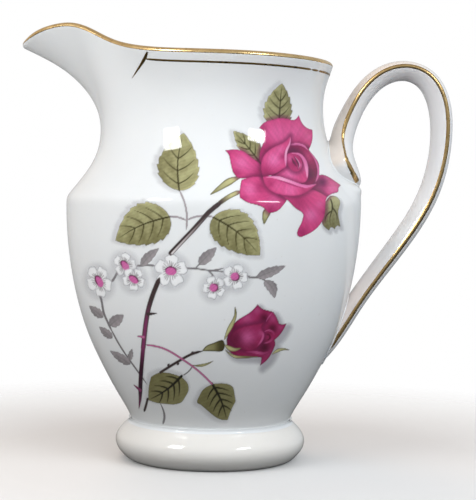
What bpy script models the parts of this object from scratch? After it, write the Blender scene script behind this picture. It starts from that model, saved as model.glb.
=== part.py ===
"""A small porcelain cream jug: a slip-cast body with a beaked spout, standing in a separate foot ring,
with a strap handle luted on by its two roots, and bright gold lines on the rim, neck and handle.

Metres, +Z up. The spout points along -X and the handle along +X, and the jug is symmetric about the
plane Y = 0. Everything is designed about the jug's own turning axis, and an empty moves the whole
jug so that the origin is the middle of the bottom of its bounding box.
"""

import math

import bmesh
import bpy
from mathutils import Vector

MM = 0.001

# Driving dimensions
RIM_RADIUS = 29.0 * MM
RIM_HEIGHT = 98.3 * MM
SPOUT_REACH = 48.1 * MM
LIP_OVERHANG = 0.9 * MM  # the rolled lip and its gold stand this far beyond the rim's keys at the tip
HANDLE_REACH = 58.5 * MM
WALL = 2.4 * MM
LIP_WALL = 1.9 * MM
GAP = 0.3 * MM
SLIP_THICKNESS = 0.4 * MM
GILT_GAP = 0.25 * MM
GILT_THICKNESS = 0.2 * MM
RIM_GILT_DROP = 0.3 * MM
NECK_LINE_DROP = 1.8 * MM
NECK_LINE_HEIGHT = 0.5 * MM
AXIS_X = (SPOUT_REACH - HANDLE_REACH) / 2

# The outer wall from the underside to the foot of the neck, as (radius, height)
UNDERSIDE_HEIGHT = 5.6 * MM
LOWER_WALL = [
    (16.4 * MM, 5.6 * MM),
    (17.8 * MM, 6.3 * MM),
    (19.6 * MM, 9.7 * MM),
    (22.9 * MM, 15.8 * MM),
    (26.7 * MM, 22.6 * MM),
    (30.4 * MM, 30.4 * MM),
    (33.3 * MM, 39.2 * MM),
    (35.2 * MM, 48.6 * MM),
    (36.1 * MM, 56.8 * MM),
    (36.3 * MM, 62.2 * MM),
    (36.1 * MM, 64.3 * MM),
]
NECK_FOOT = (35.0 * MM, 66.0 * MM)
CREASE_HEIGHT = 9.7 * MM
INNER_FLOOR_RADIUS = 14.0 * MM
INNER_FLOOR_HEIGHT = 8.1 * MM
INNER_WALL_START = 12.0 * MM

# The neck is a Bezier from its foot to the rim: the two middle points round the jug, and in the spout
NECK_HANDLES = [(27.0 * MM, 75.5 * MM), (24.2 * MM, 87.2 * MM)]
SPOUT_HANDLES = [(21.0 * MM, 81.1 * MM), (30.2 * MM, 93.8 * MM)]
SPOUT_HALF_ANGLE = 60.0
SPOUT_FULLNESS = 3.0 * MM  # how far the spout's two flanks swell beyond the blend of those curves

# The rim, as (degrees from the middle of the spout, radius, height)
RIM_KEYS = [
    (0, SPOUT_REACH - LIP_OVERHANG, 101.4 * MM),
    (4, 46.1 * MM, 102.5 * MM),
    (8, 43.4 * MM, 104.4 * MM),
    (13, 38.8 * MM, 105.8 * MM),
    (20, 34.6 * MM, 105.2 * MM),
    (30, 31.2 * MM, 102.6 * MM),
    (42, 29.7 * MM, 100.5 * MM),
    (55, 29.2 * MM, 99.3 * MM),
    (75, RIM_RADIUS, 98.6 * MM),
    (110, 28.9 * MM, RIM_HEIGHT),
    (180, 28.6 * MM, 97.8 * MM),
]

# The foot ring's outer curve from its top lip to the table, and its inner side, as (radius, height)
FOOT_OUTER = [
    (21.0 * MM, 8.7 * MM),
    (21.7 * MM, 8.0 * MM),
    (22.6 * MM, 6.9 * MM),
    (23.3 * MM, 5.5 * MM),
    (23.4 * MM, 4.2 * MM),
    (22.9 * MM, 2.8 * MM),
    (21.9 * MM, 1.5 * MM),
    (20.8 * MM, 0.5 * MM),
    (19.8 * MM, 0.0),
]
FOOT_INNER = [(18.0 * MM, 0.0), (17.3 * MM, 0.4 * MM), (16.9 * MM, 1.4 * MM), (16.5 * MM, 3.9 * MM)]

# The handle's sections from the upper root to the lower root: outer edge, inner edge and breadth
HANDLE_SECTIONS = [
    ((24.5, 77.0), (31.5, 67.6), 20.0),
    ((28.2, 79.2), (36.2, 70.0), 19.0),
    ((28.8, 81.2), (34.5, 75.0), 14.5),
    ((29.5, 83.4), (34.2, 79.4), 12.2),
    ((30.9, 86.5), (35.6, 84.2), 11.2),
    ((33.8, 91.6), (38.2, 89.2), 11.0),
    ((39.0, 96.9), (41.9, 92.9), 11.0),
    ((46.2, 99.1), (46.2, 94.2), 11.0),
    ((53.4, 96.6), (49.9, 92.7), 11.0),
    ((57.5, 90.2), (52.2, 88.6), 11.0),
    ((HANDLE_REACH / MM, 82.0), (53.2, 82.0), 11.0),
    ((55.3, 65.6), (50.5, 67.0), 11.0),
    ((46.1, 50.4), (42.2, 53.1), 11.0),
    ((37.5, 38.5), (33.8, 41.0), 10.8),
    ((29.7, 26.6), (26.4, 28.8), 7.6),
    ((27.2, 23.8), (24.4, 25.2), 4.6),
]
RIDGE_POWER = 1.25  # above 1, the two faces of the strap meet in a ridge instead of a round side

# Where the strap's side ridges lie, as (share of its length, share of its depth from its outer edge)
RIDGE_KEYS = [(0.0, 0.45), (0.06, 0.41), (0.15, 0.34), (0.3, 0.33), (0.65, 0.36), (1.0, 0.33)]

# The shares of the strap's length that each root's slip and the gold lines take up
UPPER_ROOT_SPAN = (0.0, 0.16)
LOWER_ROOT_SPAN = (0.78, 1.0)
HANDLE_LINE_SPAN = (0.13, 0.9)
HANDLE_LINE_TURNS = (-15, 0, 15)  # degrees round the strap from its side ridge
ROOT_ROWS = 12

# The brush stroke beside the spout, as (degrees from the spout, drop below the rim, width)
STROKE_KEYS = [
    (57.1, 1.1 * MM, 0.5 * MM),
    (55.7, 1.9 * MM, 0.75 * MM),
    (53.3, 3.2 * MM, 0.7 * MM),
    (50.1, 4.8 * MM, 0.45 * MM),
    (46.8, 6.6 * MM, 0.2 * MM),
]
STROKE_TO_LINE = 1.5  # degrees between the stroke and the start of the line round the neck

# Finishes, as (colour, roughness, metallic)
PORCELAIN = ((0.86, 0.88, 0.89), 0.08, 0.0)
SLIP = ((0.80, 0.81, 0.81), 0.25, 0.0)
GOLD = ((0.72, 0.49, 0.20), 0.18, 1.0)

COLUMNS = 60
NECK_ROWS = 11
LIP_STEPS = 4
WALL_ROWS = 14
SECTION_POINTS = 16
HANDLE_ROWS = 52
FOOT_STEPS = 60
STROKE_ROWS = 13
HANDLE_LINE_ROWS = 38


def clear_scene():
    for obj in list(bpy.data.objects):
        bpy.data.objects.remove(obj)


def new_collection(name):
    collection = bpy.data.collections.new(name)
    bpy.context.scene.collection.children.link(collection)
    return collection


def material_for(name, finish):
    colour, roughness, metallic = finish
    material = bpy.data.materials.new(f"{name}_finish")
    material.use_nodes = True
    shader = material.node_tree.nodes["Principled BSDF"]
    shader.inputs["Base Color"].default_value = (*colour, 1.0)
    shader.inputs["Roughness"].default_value = roughness
    shader.inputs["Metallic"].default_value = metallic
    return material


def smooth_through(keys, place):
    """A cubic Hermite curve through keys, which are tuples that start with their place."""
    last = len(keys) - 1
    step = 0
    while step < last - 1 and place > keys[step + 1][0]:
        step += 1
    a, b = keys[step], keys[step + 1]
    before, after = keys[max(step - 1, 0)], keys[min(step + 2, last)]
    span = b[0] - a[0]
    t = (place - a[0]) / span
    found = []
    for n in range(1, len(a)):
        slope_a = (b[n] - before[n]) / (b[0] - before[0]) * span
        slope_b = (after[n] - a[n]) / (after[0] - a[0]) * span
        found.append(
            a[n] * (2 * t**3 - 3 * t**2 + 1)
            + slope_a * (t**3 - 2 * t**2 + t)
            + b[n] * (3 * t**2 - 2 * t**3)
            + slope_b * (t**3 - t**2)
        )
    return found


def along(points, rows):
    """Points evenly spread along a smooth curve through the given points."""
    keys = [(n, *point) for n, point in enumerate(points)]
    last = len(points) - 1
    return [smooth_through(keys, last * n / (rows - 1)) for n in range(rows)]


def column_angles():
    """Degrees from the middle of the spout, closer together in the spout than behind it."""
    half = COLUMNS // 2
    side = [180 * (n / half) ** 1.35 for n in range(half + 1)]
    return side + [-angle for angle in side[-2:0:-1]]


def rim_at(degrees):
    """The radius and height of the rim's outer edge; the spout's middle is at 0 degrees."""
    mirrored = [(-angle, radius, height) for angle, radius, height in RIM_KEYS[3:0:-1]]
    return smooth_through(mirrored + RIM_KEYS, abs(degrees))


def neck_curve(degrees, rows):
    """(radius, height) from the foot of the neck to the lip, for one direction."""
    share = min(abs(degrees) / SPOUT_HALF_ANGLE, 1.0)
    spout = 0.5 + 0.5 * math.cos(math.pi * share)
    radius, top = rim_at(degrees)
    middle = [
        Vector(plain).lerp(Vector(beak), spout) for plain, beak in zip(NECK_HANDLES, SPOUT_HANDLES)
    ]
    middle[-1].x += SPOUT_FULLNESS * 4 * spout * (1 - spout)
    ends = [Vector(NECK_FOOT), *middle, Vector((radius, top - LIP_WALL / 2))]
    curve = []
    for row in range(rows):
        t = row / (rows - 1)
        weights = ((1 - t) ** 3, 3 * t * (1 - t) ** 2, 3 * t * t * (1 - t), t**3)
        curve.append(sum((w * p for w, p in zip(weights, ends)), Vector((0, 0))))
    return curve


def outer_curve(degrees):
    """(radius, height) of the whole outer wall, for one direction."""
    low = [Vector(point) for point in along(LOWER_WALL, WALL_ROWS)]
    return low + neck_curve(degrees, NECK_ROWS)


def in_space(degrees, radius, height):
    """The spout is at -X, so that is where the angles start."""
    angle = math.radians(degrees)
    return Vector((-radius * math.cos(angle), -radius * math.sin(angle), height))


def outer_grid(offset=0.0):
    """Rows of points on the outer wall, moved out along its normals by offset."""
    angles = column_angles()
    columns = [[in_space(a, *point) for point in outer_curve(a)] for a in angles]
    rows = list(zip(*columns))
    return [[p + offset * n for p, n in zip(row, normals)] for row, normals in zip(rows, normals_of(rows))]


def normals_of(rows):
    """The unit normals of a grid of points that closes on itself sideways."""
    found = []
    count = len(rows[0])
    for r, row in enumerate(rows):
        above, below = rows[min(r + 1, len(rows) - 1)], rows[max(r - 1, 0)]
        line = []
        for c in range(count):
            sideways = row[(c + 1) % count] - row[c - 1]
            upward = above[c] - below[c]
            line.append(sideways.cross(upward).normalized())
        found.append(line)
    return found


def closed_loft(name, rings, collection, finish, joined=False):
    """A solid through rings of points: with its ends closed, or with its last ring joined to its first."""
    bm = bmesh.new()
    rows = [[bm.verts.new(point) for point in ring] for ring in rings]
    pairs = list(zip(rows, rows[1:]))
    if joined:
        pairs.append((rows[-1], rows[0]))
    for low, high in pairs:
        count = len(low)
        for c in range(count):
            bm.faces.new((low[c], low[(c + 1) % count], high[(c + 1) % count], high[c]))
    if not joined:
        bm.faces.new(rows[0][::-1])
        bm.faces.new(rows[-1])
    return finish_mesh(name, bm, collection, finish)


def finish_mesh(name, bm, collection, finish):
    bmesh.ops.recalc_face_normals(bm, faces=bm.faces)
    mesh = bpy.data.meshes.new(name)
    bm.to_mesh(mesh)
    bm.free()
    mesh.shade_smooth()
    mesh.set_sharp_from_angle(angle=math.radians(40))
    mesh.materials.append(material_for(name, finish))
    obj = bpy.data.objects.new(name, mesh)
    collection.objects.link(obj)
    return obj


def turned(name, profile, collection, finish):
    """A turned ring: a closed profile spun about the jug's axis by a Screw modifier."""
    bm = bmesh.new()
    verts = [bm.verts.new((radius, 0, height)) for radius, height in profile]
    for n in range(len(verts)):
        bm.edges.new((verts[n - 1], verts[n]))
    mesh = bpy.data.meshes.new(name)
    bm.to_mesh(mesh)
    bm.free()
    mesh.materials.append(material_for(name, finish))
    obj = bpy.data.objects.new(name, mesh)
    collection.objects.link(obj)
    screw = obj.modifiers.new("turned", "SCREW")
    screw.steps = FOOT_STEPS
    screw.render_steps = FOOT_STEPS
    screw.use_merge_vertices = True
    screw.merge_threshold = 0.01 * MM
    screw.use_smooth_shade = True
    return obj


def inner_grid(outer):
    """The cavity's wall, from the lip down: the outer wall less the wall's thickness."""
    normals = normals_of(outer)
    rows = []
    for r in range(len(outer) - 1, -1, -1):
        if outer[r][0].z < INNER_WALL_START:
            break
        lip_share = max(0.0, (r - WALL_ROWS) / (NECK_ROWS - 1))
        wall = WALL + (LIP_WALL - WALL) * lip_share
        rows.append([p - wall * n for p, n in zip(outer[r], normals[r])])
    return rows


def lip_rings(outer_edge, inner_edge, tangents, grow=0.0):
    """Half-round rings over the lip, from the outer edge to the inner edge."""
    rings = []
    for step in range(1, LIP_STEPS):
        turn = math.pi * step / LIP_STEPS
        ring = []
        for a, b, up in zip(outer_edge, inner_edge, tangents):
            across = (a - b) / 2
            reach = across.length + grow
            ring.append((a + b) / 2 + reach * (across.normalized() * math.cos(turn) + up * math.sin(turn)))
        rings.append(ring)
    return rings


def upward_at_lip(outer):
    return [(a - b).normalized() for a, b in zip(outer[-1], outer[-2])]


def disc_centre(height, ring, share):
    """A smaller ring inside a flat floor, so that the floor isn't one wide face."""
    return [Vector((p.x * share, p.y * share, height)) for p in ring]


def make_body(collection):
    outer = outer_grid()
    inner = inner_grid(outer)
    lip = lip_rings(outer[-1], inner[0], upward_at_lip(outer))
    underside = disc_centre(UNDERSIDE_HEIGHT, outer[0], 0.5)
    scale = INNER_FLOOR_RADIUS / inner[-1][0].xy.length
    floor_edge = disc_centre(INNER_FLOOR_HEIGHT, inner[-1], scale)
    floor_middle = disc_centre(INNER_FLOOR_HEIGHT, inner[-1], scale / 2)
    rings = [underside, *outer, *lip, *inner, floor_edge, floor_middle]
    return closed_loft("jug_body", rings, collection, PORCELAIN)


def cone_offset(distance):
    """The body's lower corner, from under its underside to the crease, moved out by distance."""
    corner = [Vector(point) for point in along(LOWER_WALL, WALL_ROWS)]
    corner = [Vector((LOWER_WALL[0][0] - 0.6 * MM, UNDERSIDE_HEIGHT))] + corner
    moved = []
    for n in range(1, len(corner)):
        if corner[n].y > CREASE_HEIGHT:
            break
        across = corner[min(n + 1, len(corner) - 1)] - corner[n - 1]
        moved.append(corner[n] + distance * Vector((across.y, -across.x)).normalized())
    return moved


def make_foot(collection):
    """The foot ring has a rebate in its top that the body's lower corner stands in."""
    rebate = cone_offset(2 * GAP + SLIP_THICKNESS)
    profile = [*FOOT_OUTER, *FOOT_INNER, *[tuple(point) for point in rebate]]
    return turned("foot_ring", profile, collection, PORCELAIN)


def make_foot_slip(collection):
    near, far = cone_offset(GAP), cone_offset(GAP + SLIP_THICKNESS)
    profile = [tuple(point) for point in near + far[::-1]]
    return turned("foot_slip_joint", profile, collection, SLIP)


def handle_rows(first=0.0, last=1.0, rows=HANDLE_ROWS):
    """(outer edge, inner edge, ridge, breadth) of the strap at even steps between two shares."""
    keys, place = [], 0.0
    for n, (outer, inner, breadth) in enumerate(HANDLE_SECTIONS):
        if n:
            place += math.dist(outer, HANDLE_SECTIONS[n - 1][0])
        keys.append((place, *outer, *inner, breadth))
    end = place
    found = []
    for row in range(rows):
        share = first + (last - first) * row / (rows - 1)
        ox, oz, ix, iz, breadth = smooth_through(keys, end * share)
        outer, inner = Vector((ox, 0, oz)) * MM, Vector((ix, 0, iz)) * MM
        ridge = outer.lerp(inner, smooth_through(RIDGE_KEYS, share)[0])
        found.append((outer, inner, ridge, breadth * MM))
    return found


def strap_point(section, degrees, offset=0.0):
    """A point on the strap's surface: 0 is the ridge at -Y, 90 the outer edge and -90 the inner edge."""
    outer, inner, ridge, breadth = section
    angle = math.radians(degrees)
    reach = outer if math.sin(angle) >= 0 else inner
    depth = abs(math.sin(angle)) ** RIDGE_POWER
    point = ridge + (reach - ridge) * depth + Vector((0, -breadth / 2 * math.cos(angle), 0))
    if not offset:
        return point
    outward = (reach - ridge).normalized() * depth + Vector((0, -math.cos(angle), 0))
    return point + offset * outward.normalized()


def strap_rings(sections, grow=0.0):
    turns = [360 * n / SECTION_POINTS for n in range(SECTION_POINTS)]
    return [[strap_point(section, turn, grow) for turn in turns] for section in sections]


def body_block(name, offset, cutters):
    """A solid block of the body's outer shape moved out by offset, for cutting and trimming."""
    grid = outer_grid(offset)
    block = closed_loft(name, grid, cutters, PORCELAIN)
    block.hide_render = True
    block.display_type = "WIRE"
    return block


def trim(obj, cutter, operation):
    boolean = obj.modifiers.new(cutter.name, "BOOLEAN")
    boolean.operation = operation
    boolean.object = cutter
    boolean.solver = "EXACT"


def make_handle(collection, cutters):
    """The strap is cut to the body's curve at both roots, with a bed of slip in each joint."""
    near = body_block("slip_inner_face", GAP, cutters)
    far = body_block("slip_outer_face", GAP + SLIP_THICKNESS, cutters)
    seat = body_block("handle_seat", 2 * GAP + SLIP_THICKNESS, cutters)
    handle = closed_loft("handle", strap_rings(handle_rows()), collection, PORCELAIN)
    trim(handle, seat, "DIFFERENCE")
    made = [handle]
    for name, span in (("upper_slip_joint", UPPER_ROOT_SPAN), ("lower_slip_joint", LOWER_ROOT_SPAN)):
        root = strap_rings(handle_rows(*span, ROOT_ROWS), grow=SLIP_THICKNESS)
        bed = closed_loft(name, root, collection, SLIP)
        trim(bed, far, "INTERSECT")
        trim(bed, near, "DIFFERENCE")
        made.append(bed)
    return made


def make_rim_gilding(collection):
    """Gold over the lip and a little way down the outside and the inside."""
    outer = outer_grid()
    inner = inner_grid(outer)
    upward = upward_at_lip(outer)
    layers = []
    for grow in (GILT_GAP, GILT_GAP + GILT_THICKNESS):
        rows = []
        for side, other in ((outer[-1], inner[0]), (inner[0], outer[-1])):
            pushed = [a + (a - b).normalized() * grow for a, b in zip(side, other)]
            rows.append([p - up * RIM_GILT_DROP for p, up in zip(pushed, upward)])
            rows.append(pushed)
        lip = lip_rings(outer[-1], inner[0], upward, grow)
        layers.append([rows[0], rows[1], *lip, rows[3], rows[2]])
    rings = layers[0] + layers[1][::-1]
    return closed_loft("rim_gilding", rings, collection, GOLD, joined=True)


def below_rim(degrees, drop, offset):
    """A point on the neck at a distance below the lip along the wall, moved out by offset."""
    curve = neck_curve(degrees, 60)[::-1]
    travelled = 0.0
    for a, b in zip(curve, curve[1:]):
        length = (b - a).length
        if travelled + length >= drop:
            spot = a.lerp(b, (drop - travelled) / length)
            down = (b - a).normalized()
            outward = Vector((-down.y, down.x))
            return in_space(degrees, *(spot + offset * outward))
        travelled += length
    return in_space(degrees, *curve[-1])


def gilt_strip(name, route, collection):
    """A thin strip along route, whose steps are each (degrees, drop, width)."""
    rings = []
    low, high = GILT_GAP, GILT_GAP + GILT_THICKNESS
    for n, (degrees, drop, width) in enumerate(route):
        before, after = route[max(n - 1, 0)], route[min(n + 1, len(route) - 1)]
        run = Vector((math.radians(after[0] - before[0]) * RIM_RADIUS, after[1] - before[1])).normalized()
        turn, fall = -run.y * width / 2, run.x * width / 2
        lean = math.degrees(turn / RIM_RADIUS)
        corners = ((1, low), (1, high), (-1, high), (-1, low))
        rings.append([below_rim(degrees + side * lean, drop + side * fall, out) for side, out in corners])
    return closed_loft(name, rings, collection, GOLD)


def make_neck_gilding(collection):
    """The line round the neck stops at a brush stroke on each side of the spout."""
    stroke = along(STROKE_KEYS, STROKE_ROWS)
    made = []
    for name, side in (("spout_stroke_left", 1), ("spout_stroke_right", -1)):
        route = [(side * degrees, drop, width) for degrees, drop, width in stroke]
        made.append(gilt_strip(name, route, collection))
    start = STROKE_KEYS[1][0] + STROKE_TO_LINE
    angles = [start] + [a for a in column_angles() if a > start + 1]
    angles += [360 - a for a in angles[-2::-1]]
    route = [(angle, NECK_LINE_DROP, NECK_LINE_HEIGHT) for angle in angles]
    made.append(gilt_strip("neck_gilt_line", route, collection))
    return made


def make_handle_gilding(collection):
    """A gold line along each side ridge of the strap."""
    made = []
    low, high = GILT_GAP, GILT_GAP + GILT_THICKNESS
    for name, side in (("handle_gilt_left", 1), ("handle_gilt_right", -1)):
        rings = []
        for section in handle_rows(*HANDLE_LINE_SPAN, HANDLE_LINE_ROWS):
            under = [strap_point(section, turn, low) for turn in HANDLE_LINE_TURNS]
            over = [strap_point(section, turn, high) for turn in HANDLE_LINE_TURNS]
            rings.append([Vector((p.x, side * p.y, p.z)) for p in under + over[::-1]])
        made.append(closed_loft(name, rings, collection, GOLD))
    return made


def main():
    clear_scene()
    jug = new_collection("cream_jug")
    cutters = new_collection("cutters")
    made = [make_body(jug), make_foot(jug), make_foot_slip(jug)]
    made += make_handle(jug, cutters)
    made.append(make_rim_gilding(jug))
    made += make_neck_gilding(jug)
    made += make_handle_gilding(jug)
    axis = bpy.data.objects.new("turning_axis", None)
    axis.location = (AXIS_X, 0, 0)
    jug.objects.link(axis)
    for obj in [*made, *cutters.objects]:
        obj.parent = axis


main()
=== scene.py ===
"""The looks of a porcelain cream jug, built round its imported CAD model.

Shapes are worked out in millimetres about the jug's own turning axis, with the spout at -X and the
handle at +X, and become metres in the frame as each mesh is made. The spray of roses is a thin film
on the glaze. It is painted in code, point by point, on a dense mesh that follows the wall.
"""

import math

import bmesh
import bpy
import numpy as np
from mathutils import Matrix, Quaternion, Vector


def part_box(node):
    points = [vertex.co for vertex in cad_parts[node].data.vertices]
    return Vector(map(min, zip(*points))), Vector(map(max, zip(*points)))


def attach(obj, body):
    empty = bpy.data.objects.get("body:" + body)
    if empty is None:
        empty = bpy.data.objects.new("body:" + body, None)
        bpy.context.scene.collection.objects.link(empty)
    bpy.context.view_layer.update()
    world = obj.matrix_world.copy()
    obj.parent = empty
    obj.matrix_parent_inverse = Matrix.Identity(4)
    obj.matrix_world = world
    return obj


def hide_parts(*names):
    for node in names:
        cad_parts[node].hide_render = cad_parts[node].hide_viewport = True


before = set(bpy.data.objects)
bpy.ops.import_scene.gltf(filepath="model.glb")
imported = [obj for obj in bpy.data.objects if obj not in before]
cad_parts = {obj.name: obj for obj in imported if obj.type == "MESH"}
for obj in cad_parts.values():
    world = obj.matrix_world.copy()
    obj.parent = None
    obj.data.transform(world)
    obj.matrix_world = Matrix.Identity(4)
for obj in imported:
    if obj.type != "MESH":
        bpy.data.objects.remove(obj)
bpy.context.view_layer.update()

MM = 0.001
FOOT_LOW, FOOT_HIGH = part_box("foot_ring")
AXIS_X = (FOOT_LOW.x + FOOT_HIGH.x) / 2

# The camera, in millimetres: it looks along +Y from in front of the jug, a little right of its axis
CAMERA_RIGHT = 6.15
CAMERA_DISTANCE = 372.0
CAMERA_HEIGHT = 68.0
CAMERA_TILT_DOWN = 2.5
CAMERA_ROLL = 1.0
CAMERA_LENS = 108.1

# The room's light: warm from the upper left behind the jug, cool from the right, dim from below
WARM_SIDE = (-0.70, 0.25, 0.67)
WARM_ROOM = (1.0, 0.94, 0.89)
COOL_ROOM = (0.84, 0.92, 1.0)
WARM_SPREAD = (-0.3, 0.9)
ROOM_STRENGTH = 0.66
ROOM_HEIGHTS = [(-0.3, 0.1), (0.0, 0.75), (0.25, 1.0), (1.0, 0.75)]
LIGHT_DISTANCE = 0.9

# The floor is pale round the jug and melts into the white backdrop between these radii, in metres
FLOOR_FADE = (0.06, 0.15)
FLOOR_RADIUS = 2.5
FLOOR_TONES = [(0.3, (0.84, 0.84, 0.84)), (0.7, (0.86, 0.86, 0.86))]
# What is left of the floor's tone in the light that it throws back on to the jug
FLOOR_DULLED = (0.12, 0.12, 0.12, 1.0)

# Softboxes: name, azimuth from straight in front, elevation, size, radiance, colour, what sees them
COOL_LIGHT = (0.97, 0.99, 1.0)
WARM_LIGHT = (1.0, 0.965, 0.94)
AMBER_LIGHT = (1.0, 0.66, 0.42)
LIGHT_AIM_HEIGHT = 0.08
LIGHTS = [
    ("window_left", -46.0, 33.4, (0.24, 0.26), 20.0, COOL_LIGHT, "glossy"),
    ("window_right", 46.2, 30.4, (0.26, 0.145), 20.0, COOL_LIGHT, "glossy"),
    ("key_left", -52.0, 24.0, (0.5, 0.5), 3.8, COOL_LIGHT, "diffuse"),
    ("key_right", 48.0, 28.0, (0.5, 0.5), 4.4, COOL_LIGHT, "diffuse"),
    ("key_top", -8.0, 62.0, (0.5, 0.4), 0.5, COOL_LIGHT, "diffuse"),
    ("middle", 14.0, 28.0, (0.6, 0.35), 1.8, WARM_LIGHT, "diffuse"),
    ("low_middle", 20.0, -26.0, (0.6, 0.3), 1.1, WARM_LIGHT, "diffuse"),
    ("low_left", -70.0, -26.0, (0.6, 0.3), 3.6, WARM_LIGHT, "diffuse"),
    ("warm_behind", -150.0, 48.0, (0.4, 0.4), 2.6, AMBER_LIGHT, "diffuse"),
]

# The body, the same design as the CAD body but made fine, as (radius, height)
LIP_WALL = 1.9
WALL = 2.4
LOWER_WALL = [
    (16.4, 5.6),
    (17.8, 6.3),
    (19.6, 9.7),
    (22.9, 15.8),
    (26.7, 22.6),
    (30.4, 30.4),
    (33.3, 39.2),
    (35.2, 48.6),
    (36.1, 56.8),
    (36.3, 62.2),
    (36.1, 64.3),
]
NECK_FOOT = (35.0, 66.0)
NECK_HANDLES = [(27.0, 75.5), (24.2, 87.2)]
SPOUT_HANDLES = [(21.0, 81.1), (30.2, 93.8)]
NECK_KNOTS = (0.0, 0.14, 0.3, 0.46, 0.62, 0.8, 1.0)
SPOUT_HALF_ANGLE = 60.0
SPOUT_FULLNESS = 3.0
RIM_KEYS = [
    (0, 47.2, 101.4),
    (4, 46.1, 102.5),
    (8, 43.4, 104.4),
    (13, 38.8, 105.8),
    (20, 34.6, 105.2),
    (30, 31.2, 102.6),
    (42, 29.7, 100.5),
    (55, 29.2, 99.3),
    (75, 29.0, 98.6),
    (110, 28.9, 98.3),
    (180, 28.6, 97.8),
]
INNER_FLOOR_HEIGHT = 8.1
INNER_FLOOR_SHRINK = 0.24
INNER_FLOOR_TURNS = 9
INNER_FLOOR_SHARES = (0.75, 0.45, 0.02)
UNDERSIDE_SHARES = (0.02, 0.3, 0.6, 0.85)
INNER_WALL_START = 12.0
LIP_THINNING_START = 0.62
BODY_COLUMNS = 400
COLUMN_CROWDING = 1.3
OUTER_ROWS = 190
LIP_ROWS = 12

# Where the handle's upper root was smoothed on to the shoulder, the wall stands out a little
ROOT_SWELL = 2.3
ROOT_SWELL_HEIGHT = 67.6
ROOT_SWELL_REACH = 2.1
ROOT_SWELL_ANGLE = 25.0
ROOT_SWELL_FADE = 14.0

# The foot ring from under the body, round its outside, to the body's underside, as (radius, height)
FOOT_OUTER = [
    (18.9, 9.6),
    (20.3, 9.2),
    (21.5, 8.2),
    (22.6, 6.9),
    (23.3, 5.5),
    (23.4, 4.2),
    (22.9, 2.8),
    (21.9, 1.5),
    (20.8, 0.5),
    (19.8, 0.0),
]
FOOT_INNER = [(18.0, 0.0), (17.3, 0.4), (16.9, 1.4), (16.6, 3.2), (16.5, 5.9)]
FOOT_STEPS = 320

# The slip in the corner between body and foot: its corner, its reach, and the ways the walls run
FILLET_CORNER = (19.85, 9.45)
FILLET_RADIUS = 0.9
FILLET_WAYS = ((0.5, 0.87), (0.86, -0.5))
FILLET_SINK = 0.4
FILLET_STEPS = 10

# The strap handle's sections from the upper root to the lower root: outer edge, inner edge, breadth
HANDLE_SECTIONS = [
    ((24.5, 77.0), (31.5, 67.6), 20.0),
    ((28.2, 79.2), (36.2, 70.0), 19.0),
    ((28.8, 81.2), (34.5, 75.0), 14.5),
    ((29.5, 83.4), (34.2, 79.4), 12.2),
    ((30.9, 86.5), (35.6, 84.2), 11.2),
    ((33.8, 91.6), (38.2, 89.2), 11.0),
    ((39.0, 96.9), (41.9, 92.9), 11.0),
    ((46.2, 99.1), (46.2, 94.2), 11.0),
    ((53.4, 96.6), (49.9, 92.7), 11.0),
    ((57.5, 90.2), (52.2, 88.6), 11.0),
    ((58.5, 82.0), (53.2, 82.0), 11.0),
    ((55.3, 65.6), (50.5, 67.0), 11.0),
    ((46.1, 50.4), (42.2, 53.1), 11.0),
    ((37.5, 38.5), (33.8, 41.0), 10.8),
    ((29.7, 26.6), (26.4, 28.8), 7.6),
    ((27.2, 23.8), (24.4, 25.2), 4.6),
]
# Where the strap's side ridges lie between its outer and inner edges, at shares of its length
RIDGE_SHARES = [
    (0.0, 0.45),
    (0.06, 0.41),
    (0.12, 0.36),
    (0.2, 0.33),
    (0.45, 0.31),
    (0.65, 0.37),
    (1.0, 0.33),
]
RIDGE_POWER = 1.25
ROOT_DEPTH = 1.2
STRAP_ROWS = 260
STRAP_TURNS = 48

# The beads of slip round the handle's roots, and the shares of its length where each root's joint is
SEAM_RADIUS = 0.5
SEAM_SIDES = 10
SEAM_FLATNESS = 0.55
SEAM_POINTS = 120
UPPER_JOINT_SPAN = (0.0, 0.3)
LOWER_JOINT_SPAN = (1.0, 0.7)

# A gold line's cross-section: places from one edge to the other, how high each stands, and its tone
GILT_RISE = 0.05
FILM_SIDES = (1.0, 0.6, 0.0, -0.6, -1.0)
FILM_RISES = (-0.03, 0.04, GILT_RISE, 0.04, -0.03)
# The neck line and the spout's strokes are dark all across: painted shade for the dark room that this gold
# reflects
NECK_PAINTED_SHADE_TONES = (0.12, 0.26, 0.34, 0.26, 0.12)
HANDLE_TONES = (0.1, 0.55, 0.8, 0.55, 0.1)

# The rim's gold lies on the lip from this turn on each side, and is worn back at the spout's tip
RIM_GOLD_TURN = 12.0
RIM_GOLD_WORN_TURN = 60.0
RIM_GOLD_WORN_ANGLE = 5.0
RIM_EDGE_TONE = 0.3

# The line round the neck: it starts thin beside the stroke and is worn through at two places
NECK_LINE_DROP = 1.8
NECK_LINE_WIDTH = 0.6
NECK_LINE_POINTS = 720
NECK_LINE_WORN = (144.0, 151.0)
NECK_LINE_WORN_DEPTH = 0.9
NECK_LINE_WORN_REACH = 1.1
NECK_LINE_START_DEPTH = 0.75
NECK_LINE_START_REACH = 2.5

# The brush stroke beside the spout, as (degrees from the spout, drop below the lip, width)
STROKE_KEYS = [
    (57.9, 0.05, 0.45),
    (56.2, 1.3, 0.75),
    (53.7, 2.8, 0.7),
    (50.2, 4.7, 0.45),
    (46.4, 6.9, 0.12),
]
STROKE_SPREAD = 1.25
STROKE_TO_LINE = 1.6

# The handle's gold lines follow its side ridges, and dive to the inner edge at the upper root
HANDLE_LINE_SPAN = (0.0235, 0.985)
HANDLE_LINE_WIDTH = 1.2
HANDLE_LINE_DIVE = 6.2
HANDLE_LINE_DIVE_SPAN = 0.02
HANDLE_LINE_DIVE_POWER = 3.5
HANDLE_LINE_TAPER = 0.02
HANDLE_LINE_POINTS = 320
HANDLE_LINE_CROWDING = 1.6
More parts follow.
